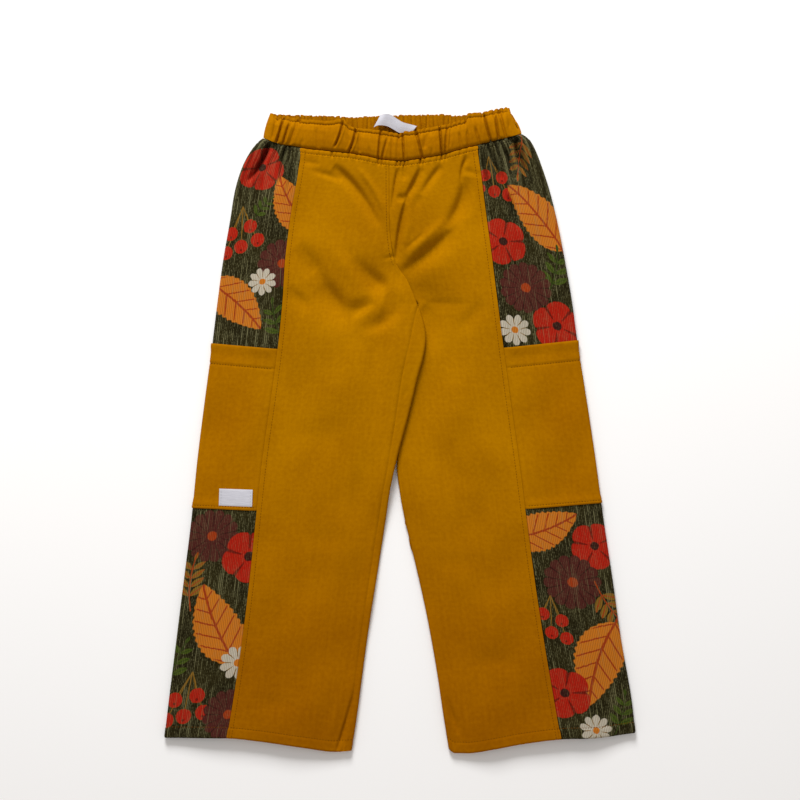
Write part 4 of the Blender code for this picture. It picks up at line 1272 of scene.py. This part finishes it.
def pocket_patch(side):
    edge, middle, hem = np.linspace(0, 0.03, 6), np.linspace(0.042, 0.86, 62), np.linspace(0.868, 1, 20)
    low, high = pocket_edge(side, 0.5, "bottom"), pocket_edge(side, 0.5, "top")
    rows, lengths = [], []
    for up in np.concatenate([edge, middle, hem]):
        along, over, beneath = side_columns(side, low + up * (high - low), (14, 8, 26, 10))
        share = share_out(along, over, beneath)
        bottom, top = pocket_edge(side, share, "bottom"), pocket_edge(side, share, "top")
        y = bottom + up * (top - bottom)
        raised, _ = pocket_raise(side, y, along, over, beneath)
        depth = UNDER * fall(over - along, -UNDER, 1.5) - raised
        below_top, above_bottom = top - y, y - bottom
        depth += HEM_GROOVE * groove(below_top, POCKET_HEM) - POCKET_PROUD * fall(below_top, 18, 21.5)
        depth += POCKET_ROLL * fall(below_top, 0, 1.2) + POCKET_ROLL * fall(above_bottom, 0, 1.2)
        depth += groove(above_bottom, POCKET_STITCH, 0.8)
        rows.append(grid(*tube(side, y, along, depth)))
        lengths.append(grid(along, y, 0)[..., :2])
    points, lengths, flip = np.array(rows), np.array(lengths), side == "right"
    return sheet(f"pocket_patch_{side}", points, lengths, WALL, TWILL, flip=flip)


for side in ("left", "right"):
    panel = side_panel(side)
    finish_panel(panel, f"side_{side}")
    finish_panel(pocket_patch(side), f"pocket_{side}")

# %% [markdown]
# ## Waistband
# The band is a casing with an elastic inside, and above the upper stitching the cloth stands free
# as a ruffled header. Its cloth lies nearly flat between sharp, narrow creases at uneven places,
# each with a plump edge beside it; they stand in the table above. The header has short gathers of
# its own, and a top edge that steps where they pinch it. The back half shows its inner side,
# with finer and more even gathers.

# %% The waistband's face
TOP_COLUMNS = ("x", "y")
TOP_ROWS = (  # the header's edge
    (-130.5, 317.0), (-126, 315.4), (-122.3, 313.4), (-119.3, 314.8), (-112, 313.2), (-106, 311.0),
    (-102, 311.6), (-98.7, 309.8), (-86, 308.6), (-71, 307.4), (-59, 309.2), (-55, 307.4),
    (-49, 302.0), (-34, 299.6), (-18, 297.6), (-6, 295.6), (0, 294.4), (4, 297.0),
    (12, 297.2), (22, 299.6), (38, 302.2), (50, 304.8), (58, 307.6), (64.5, 309.2),
    (67, 314.6), (82, 316.6), (92, 319.4), (99.5, 320.8), (108, 322.2), (113, 315.6),
    (117, 308.0),
)
RUFFLE_COLUMNS = ("x", "depth", "half")
RUFFLE_ROWS = (  # short gathers above the header's stitching
    (-125, 1.2, 1.0), (-121.6, 1.6, 1.1), (-117.4, 1.9, 1.3), (-113.6, 1.0, 0.9), (-109.5, 0.8, 1.0),
    (-103.6, 1.1, 1.0), (-99.4, 1.5, 1.0), (-92, 0.5, 1.2), (-84, 0.4, 1.2), (-75, 0.5, 1.4),
    (-66, 0.4, 1.2), (-57.6, 1.2, 1.1), (-51, 0.9, 1.2), (-43.5, 1.1, 1.0), (-36, 0.4, 1.3),
    (-27, 0.5, 1.2), (-18.4, 1.4, 1.0), (-11, 0.8, 1.0), (-6, 0.6, 0.9), (-1, 1.3, 0.9),
    (3, 1.4, 1.0), (9, 0.7, 1.0), (15.4, 1.4, 1.0), (21, 0.6, 1.0), (25, 0.8, 0.9),
    (30.5, 0.6, 1.0), (39.2, 1.4, 1.0), (47, 1.0, 0.9), (51.5, 0.8, 0.9), (56.5, 1.1, 1.0),
    (61, 0.8, 0.9), (65.6, 1.8, 1.1), (71.5, 0.6, 1.2), (81.8, 1.5, 1.0), (87.5, 0.8, 1.0),
    (93.5, 1.5, 1.0), (98.5, 1.1, 1.0), (103.5, 1.4, 1.1), (107.6, 1.7, 1.1), (111, 1.1, 1.0),
)
BACK_PITCH = 4.5  # between the back band's gathers
PROFILE_COLUMNS = ("up", "puff", "ruffle")
PROFILE_ROWS = (  # how far the face stands out, and how strong the header's gathers are
    (0.0, -3.0, 0.0),
    (0.022, -1.0, 0.0),
    (0.05, 0.1, 0.0),
    (0.20, 1.5, 0.0),
    (0.40, 2.1, 0.0),
    (0.62, 2.1, 0.0),
    (0.78, 1.2, 0.25),
    (0.86, 0.6, 1.0),
    (0.92, 0.75, 1.5),
    (1.0, 0.5, 1.8),
)
HEADER_UP = 0.86  # the header's stitching, as a share of the band's height
HEADER_GROOVE = 0.60  # how deep it pulls the cloth in
BAND_HEIGHT = 28.0
BAND_LEAN = {"left": 6.9, "right": -12.0}  # how far the band's ends lean over at the header's edge
BAND_STEP = 0.62  # between its columns
CLOTH_PER_WIDTH = 1.35  # length of the band's cloth in a millimetre of the gathered band
CREASE_PULL = 1.75  # the creases are this many times as deep as their rows say
BULGE, BULGE_AT, BULGE_HALF = 0.26, 2.1, 1.0  # the plump edge, in shares of depth and half width
RUFFLE_SWELL, RUFFLE_WIDTH = 0.25, 3.4  # the cloth rises beside each of the header's gathers
RUFFLE_DROP = 0.75  # how far a gather pulls the header's edge down, as a share of its depth
FLATTER = 0.45  # how much less round the band's ends are at the header's edge


def back_creases():
    """Even gathers with a little unevenness, from one end of the back band to the other."""
    first, last = outer_x("left", WAIST_Y) + 11, outer_x("right", WAIST_Y) - 13
    places = np.arange(first, last, BACK_PITCH)
    places = places + 0.8 * np.sin(places * 1.7)
    return [
        (x, x + 0.3, x + 1.2 * math.sin(x * 0.31), 0.0, 1.1, 1.1 + 0.5 * math.sin(x * 0.83), 1.0)
        for x in places
    ]


def creased(x, up, creases):
    """How far the creases sink the band's cloth at a share of its height."""
    depth = np.zeros_like(x)
    t = np.array([(2 * up - 1) * (up - 1), 4 * up * (1 - up), up * (2 * up - 1)])
    for crease in named(creases, CREASE_COLUMNS):
        at = t.dot([crease["x_low"], crease["x_mid"], crease["x_high"]])
        taper = ease(up, crease["up_low"] - 0.10, crease["up_low"] + 0.04)
        taper = taper * fall(up, crease["up_high"] - 0.12, crease["up_high"] + 0.08)
        off = (x - at) / crease["half"]
        shape = np.exp(-(np.abs(off) ** 1.6)) - BULGE * hump(np.abs(off), BULGE_AT, BULGE_HALF)
        depth += CREASE_PULL * crease["depth"] * taper * shape
    return depth


def ruffled(x):
    """How far the header's short gathers sink its cloth."""
    depth = 0
    for ruffle in named(RUFFLE_ROWS, RUFFLE_COLUMNS):
        swell = RUFFLE_SWELL * hump(x, ruffle["x"], RUFFLE_WIDTH)
        depth = depth + ruffle["depth"] * (hump(x, ruffle["x"], ruffle["half"]) - swell)
    return depth


def band(name, face, creases):
    """One half of the band: face is 1 for the front and -1 for the back."""
    middle = edge_height(WAIST_Y) / 2
    loft = read(HEIGHT_ROWS, HEIGHT_COLUMNS, "loft", WAIST_Y)
    turns = np.radians([2, 10, 20, 32, 45, 60, 75, 90])
    ends = {s: outer_x(s, WAIST_Y) for s in ("left", "right")}
    count = int((ends["right"] - ends["left"]) / BAND_STEP)
    edge_ups, body_ups = [0, 0.010, 0.022, 0.036, 0.055, 0.08], np.linspace(0.11, 0.80, 18)
    header_ups = [0.825, 0.84, 0.85, 0.86, 0.87, 0.88, 0.895, 0.92, 0.95, 0.975, 0.99, 1.0]
    rows, lengths = [], []
    for up in np.concatenate([edge_ups, body_ups, header_ups]):
        at = {c: float(read(PROFILE_ROWS, PROFILE_COLUMNS, c, up)) for c in PROFILE_COLUMNS[1:]}
        left, right = (ends[s] + BAND_LEAN[s] * up**1.6 for s in ("left", "right"))
        radius = middle * (1 - FLATTER * ease(up, 0.6, 1.0))
        x = np.linspace(left + radius, right - radius, count)
        inside = np.minimum(x - left, right - x) - radius
        sunk, fade = creased(x, up, creases), ease(inside, -2, 6)
        if face > 0:
            z = middle + radius + (middle - radius + loft) * ease(inside, 0, LOFT_RAMP)
            z = z + at["puff"] * ease(inside, 0, 22)
            wavy = 0.35 * np.sin(x * 0.19 + 0.6) + 0.22 * np.sin(x * 0.43 + 2.5 * up)
            stitched = HEADER_GROOVE * hump(up, HEADER_UP, 0.8 / BAND_HEIGHT)
            z = z + (wavy - sunk - at["ruffle"] * ruffled(x) - stitched) * fade
        else:
            z = (middle - radius) * fall(inside, 0, 20) + (0.45 + 0.8 * sunk) * fade
        curve = radius * (1 - np.cos(turns))
        end = middle + face * radius * np.sin(turns)
        x = np.concatenate([left + curve, x, right - curve[::-1]])
        z = np.concatenate([end, np.maximum(z, 0.0), end[::-1]])
        seam = read(WAIST_ROWS, WAIST_COLUMNS, "front" if face > 0 else "back", x)
        if face > 0:
            top = read(TOP_ROWS, TOP_COLUMNS, "y", x) - RUFFLE_DROP * ruffled(x)
        else:
            frill = np.sin(x * TURN / BACK_PITCH) * (0.55 + 0.35 * np.sin(x * 0.37))
            frill = frill + 0.4 * np.sin(x * 0.9 + 1)
            top = read(WAIST_ROWS, WAIST_COLUMNS, "back_top", x) - 0.6 + 0.7 * frill
        rows.append(grid(x, seam + (top - seam) * up, z))
        lengths.append(grid(x * CLOTH_PER_WIDTH, WAIST_Y + up * 30, 0)[..., :2])
    return sheet(name, np.array(rows), np.array(lengths), BAND_WALL, TWILL, flip=face < 0)


front_band = band("waistband_front_casing", 1, CREASE_ROWS)
back_band = band("waistband_back_casing", -1, back_creases())
finish_panel(front_band, "waistband_front")
finish_panel(back_band, "waistband_back")

# %% [markdown]
# ## Labels
# Two blank woven labels: a small patch near the lower edge of the left pocket, and a ribbon loop
# sewn inside the back of the waistband, which lies over to the right and arches at its left end.

# %% Labels
LABEL_SIZE = (33.5, 17.0)
LABEL_CENTRE = (-164.0, -67.5)
LABEL_TURN = -0.03  # radians
LABEL_STITCH = 2.0  # from the pocket label's ends in to its stitching
RIBBON_COLUMNS = ("step", "x_far", "y_far", "x_near", "y_near", "rise")
RIBBON_ROWS = (
    (0, -19.4, 315.0, -26.3, 302.5, 4.2),
    (1, -14.5, 315.8, -20.5, 304.4, 4.6),
    (2, -9.0, 315.0, -12.8, 303.6, 3.6),
    (3, -3.0, 311.2, -6.0, 300.2, 2.2),
    (4, 3.0, 307.8, -0.5, 297.2, 1.2),
    (5, 10.7, 305.8, 5.0, 296.6, 0.5),
    (6, 16.7, 304.2, 13.0, 299.0, 0.3),
)
RIBBON_BASE = 4.2  # the back band's inner side and the ribbon's own wall
RIBBON_STEP, RIBBON_WIDTH = 6.5, 12.5  # length of a step, and width


def on_label(u, v):
    """A place in plan on the pocket's label, u along it and v up it from its middle."""
    x = LABEL_CENTRE[0] + u * np.cos(LABEL_TURN) - v * np.sin(LABEL_TURN)
    y = LABEL_CENTRE[1] + u * np.sin(LABEL_TURN) + v * np.cos(LABEL_TURN)
    return x, y


def pocket_label():
    width, height = LABEL_SIZE
    u = np.linspace(-width / 2, width / 2, 35)[None, :]
    v = np.linspace(-height / 2, height / 2, 19)[:, None]
    x, y = on_label(u, v)
    _, _, z = tube("left", y, length_to("left", y, x))
    from_end, from_side = width / 2 - np.abs(u), height / 2 - np.abs(v)
    ends = 0.25 * fall(from_end, 1.2, 3.2)  # folded under at both ends
    edge = 0.25 * fall(from_side, 0, 0.8) + 0.3 * fall(from_end, 0, 0.8)
    sewn = 0.22 * hump(from_end, LABEL_STITCH, 0.7)
    slack = 0.3 * np.sin((u / width + 0.5) * np.pi) * np.sin((v / height + 0.5) * np.pi)
    points = grid(x, y, z + LAID_ON + LABEL_WALL + ends + slack - edge - sewn)
    return sheet("pocket_label", points, grid(u, v, 0)[..., :2], LABEL_WALL, LABEL)


def waist_label():
    along, across = np.linspace(0, RIBBON_ROWS[-1][0], 49)[None, :], np.linspace(0, 1, 15)[:, None]
    at = {name: read(RIBBON_ROWS, RIBBON_COLUMNS, name, along) for name in RIBBON_COLUMNS[1:]}
    x = at["x_near"] + (at["x_far"] - at["x_near"]) * across
    y = at["y_near"] + (at["y_far"] - at["y_near"]) * across
    z = RIBBON_BASE + at["rise"] + 0.25 * np.sin(np.pi * across) + 0.15 * np.sin(along * 2.1)
    lengths = grid(along * RIBBON_STEP, across * RIBBON_WIDTH, 0)[..., :2]
    return sheet("waist_label", grid(x, y, z), lengths, LABEL_WALL, LABEL)


pocket_tag = pocket_label()
waist_tag = waist_label()
finish_panel(pocket_tag, "label_pocket")
finish_panel(waist_tag, "label_waist")

# %% [markdown]
# ## Stitches
# Topstitching is a row of small thread humps with gaps between them. One stitch is modelled from a
# sphere: stretched, its ends pulled down as if into the cloth. A row is given as a line in plan;
# each stitch drops on to the cloth below it, so it follows every crease, and turns with its row.

# %% One stitch, and rows of it
STITCH_PITCH, STITCH_LENGTH, THREAD_WIDTH = 2.8, 2.3, 0.52
STITCH_SAG, STITCH_LIFT = 0.28, 0.06  # how far its ends go down, and how high it lies on the cloth
RISE_STITCHED, RISE_STITCH_IN = (164, 264), 3.4  # levels, and how far from the centre seam
WAIST_STITCHED, HEADER_STITCHED = (-98, 77), (-124, 106)  # from x to x
bpy.ops.mesh.primitive_uv_sphere_add(segments=6, ring_count=5, radius=1.0)
one_stitch = bpy.context.object
bpy.ops.object.mode_set(mode="EDIT")
bpy.ops.transform.rotate(value=math.pi / 2, orient_axis="Y", center_override=(0, 0, 0))
bpy.ops.transform.resize(value=(STITCH_LENGTH / 2, THREAD_WIDTH / 2, THREAD_WIDTH / 2))
bpy.ops.object.mode_set(mode="OBJECT")
stitch_points = np.array([v.co for v in one_stitch.data.vertices])
stitch_points[:, 2] -= STITCH_SAG * (stitch_points[:, 0] / (STITCH_LENGTH / 2)) ** 2
stitch_faces = [list(face.vertices) for face in one_stitch.data.polygons]
bpy.data.objects.remove(one_stitch)


def surface(*names):
    """The named pieces' faces, ready to be hit by a ray."""
    depsgraph = bpy.context.evaluated_depsgraph_get()
    return [BVHTree.FromObject(bpy.data.objects[name], depsgraph) for name in names]


def drop(trees, x, y):
    """The highest place of the pieces under a point in plan, in mm, and which way it faces."""
    found = [tree.ray_cast(Vector((x * MM, y * MM, 0.1)), Vector((0, 0, -1))) for tree in trees]
    found = [(hit[0], hit[1]) for hit in found if hit[0] is not None]
    if not found:
        return None
    place, normal = max(found, key=lambda hit: hit[0].z)
    return np.array(place) / MM, np.array(normal)


def stitches(name, trees, lines, look=THREAD):
    """Rows of stitches, joined in one mesh: each line is an array of x and y in mm."""
    points, faces, lengths = [], [], []
    for line in lines:
        line = np.asarray(line, float)
        run = np.concatenate([[0], np.cumsum(np.hypot(*np.diff(line, axis=0).T))])
        at = np.arange(STITCH_PITCH / 2, run[-1], STITCH_PITCH)
        here, behind, ahead = (
            np.stack([np.interp(at + step, run, line[:, k]) for k in (0, 1)], axis=-1)
            for step in (0.0, -0.5, 0.5)
        )
        for (x, y), way in zip(here, ahead - behind):
            hit = drop(trees, x, y)
            if hit is None:
                continue
            place, normal = hit
            forward = np.append(way, 0.0)
            forward -= normal * forward.dot(normal)
            forward /= np.linalg.norm(forward)
            aside = np.cross(normal, forward)
            placed = place + normal * STITCH_LIFT + stitch_points @ np.array([forward, aside, normal])
            faces += [[v + len(points) for v in face] for face in stitch_faces]
            points += placed.tolist()
            lengths += stitch_points[:, :2].tolist()
    mesh = bpy.data.meshes.new(name)
    mesh.from_pydata((np.array(points) * MM).tolist(), [], faces)
    layer = mesh.uv_layers.new(name="Cloth")
    corner = np.zeros(len(mesh.loops), int)
    mesh.loops.foreach_get("vertex_index", corner)
    layer.data.foreach_set("uv", (np.array(lengths)[corner] * MM).ravel())
    mesh.materials.append(look)
    mesh.shade_smooth()
    made = bpy.data.objects.new(name, mesh)
    bpy.context.scene.collection.objects.link(made)
    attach(made, "root")
    print(f"{name}: {len(points) // len(stitch_points)} stitches, {len(faces)} faces")
    return made


# %% Topstitching
def plan(x, y):
    """A line in plan from its points' x and y."""
    return np.stack(np.broadcast_arrays(x, y), axis=-1)


def on_leg(side, y, along):
    """A line in plan over a leg's cloth, from levels and lengths of cloth from the outer fold."""
    return plan(*tube(side, y, along)[:2])


def pocket_line(side, which, inset):
    """A line beside a pocket's free edge."""
    level = pocket_edge(side, 1, which)
    over, beneath = length_to_seam(side, level), length_to_back(side, level) - SEAM_GAP
    along = np.linspace(2.5, float(over) - 1.5, 120)
    return on_leg(side, pocket_edge(side, share_out(along, over, beneath), which) + inset, along)


for side in ("left", "right"):
    leg = surface(*(f"{part}_panel_{side}" for part in ("front", "back", "side")))
    y = np.linspace(HEM_Y + 1.0, WAIST_Y - 2, 400)
    stitches(f"stitches_side_seam_{side}", leg, [on_leg(side, y, length_to_seam(side, y) + STITCH_IN)])
    hem_end = float(length_to_inner(side, HEM_Y + HEM_DEPTH, "front"))
    hem_line = on_leg(side, HEM_Y + HEM_STITCH, np.linspace(1.5, hem_end, 160))
    stitches(f"stitches_hem_{side}", leg, [hem_line])
    lines = [pocket_line(side, "top", -POCKET_HEM), pocket_line(side, "bottom", POCKET_STITCH)]
    stitches(f"stitches_pocket_{side}", surface(f"pocket_patch_{side}"), lines)

front = surface("front_panel_left", "front_panel_right")
rise_y = np.linspace(*RISE_STITCHED, 120)
rise_x = read(RISE_ROWS, RISE_COLUMNS, "front", rise_y) - RISE_STITCH_IN
stitches("stitches_rise", front, [plan(rise_x, rise_y)])

waist_x = np.linspace(*WAIST_STITCHED, 200)
waist_seam = read(WAIST_ROWS, WAIST_COLUMNS, "front", waist_x)
stitches("stitches_waist_seam", front, [plan(waist_x, waist_seam - WAIST_STITCH_DROP)])

header_x = np.linspace(*HEADER_STITCHED, 260)
header_seam = read(WAIST_ROWS, WAIST_COLUMNS, "front", header_x)
header_top = read(TOP_ROWS, TOP_COLUMNS, "y", header_x)
header_line = plan(header_x, header_seam + (header_top - header_seam) * HEADER_UP)
stitches("stitches_header", surface(front_band.name), [header_line])

from_middle, up_label = LABEL_SIZE[0] / 2 - LABEL_STITCH, np.linspace(-7.4, 7.4, 12)
label_lines = [plan(*on_label(end * from_middle, up_label)) for end in (-1, 1)]
stitches("stitches_label", surface(pocket_tag.name), label_lines, WHITE_THREAD)

# %% [markdown]
# ## Floor, light and camera
# The trousers lie on a plain pale floor. A large soft lamp stands beyond the waist, a little to the
# left, as the creases' shadows show, and the world fills in evenly. The camera looks straight down
# from far enough away that the picture is nearly a plan: its frame is 0.8 m wide at the cloth.

# %% Floor
FLOOR_SIZE, FLOOR_GAP = 8.0, 0.0004  # metres
bpy.ops.mesh.primitive_plane_add(size=FLOOR_SIZE, location=(0, 0, -FLOOR_GAP))
floor = bpy.context.object
floor.name = "floor"
floor_look = bpy.data.materials.new("Pale floor")
floor_look.use_nodes = True
floor_shader = floor_look.node_tree.nodes["Principled BSDF"]
floor_shader.inputs["Base Color"].default_value = (0.92, 0.92, 0.92, 1.0)
floor_shader.inputs["Roughness"].default_value = 0.9
floor_shader.inputs["Specular IOR Level"].default_value = 0.1
floor.data.materials.append(floor_look)
print("Floor", FLOOR_SIZE, "m wide")

# %% Light
LAMP_PLACE, LAMP_TARGET = Vector((-0.35, 2.15, 1.2)), Vector((0, 0.05, 0))
LAMP_SIZE, LAMP_POWER = 0.9, 80  # metres and watts
bpy.ops.object.light_add(type="AREA", location=LAMP_PLACE)
lamp = bpy.context.object
lamp.name = "key light"
lamp.data.size = LAMP_SIZE
lamp.data.energy = LAMP_POWER
lamp.rotation_euler = (LAMP_TARGET - LAMP_PLACE).to_track_quat("-Z", "Y").to_euler()
world = bpy.data.worlds.new("Soft world")
world.use_nodes = True
sky = world.node_tree.nodes["Background"]
sky.inputs["Color"].default_value = (1.0, 0.95, 0.91, 1.0)
sky.inputs["Strength"].default_value = 0.52
bpy.context.scene.world = world
bpy.context.scene.view_settings.view_transform = "Standard"
print(f"Lamp {(LAMP_TARGET - LAMP_PLACE).length:.2f} m from the trousers")

# %% Camera
FRAME_WIDTH = 0.800
FRAME_MIDDLE = (0.0, 0.030)
CLOTH_HEIGHT = 0.006
LENS, SENSOR = 85.0, 36.0
distance = FRAME_WIDTH * LENS / SENSOR
bpy.ops.object.camera_add(location=(*FRAME_MIDDLE, distance + CLOTH_HEIGHT), rotation=(0, 0, 0))
camera = bpy.context.object
camera.data.lens = LENS
camera.data.sensor_width = SENSOR
bpy.context.scene.camera = camera
print(f"Camera {distance:.2f} m above the cloth")
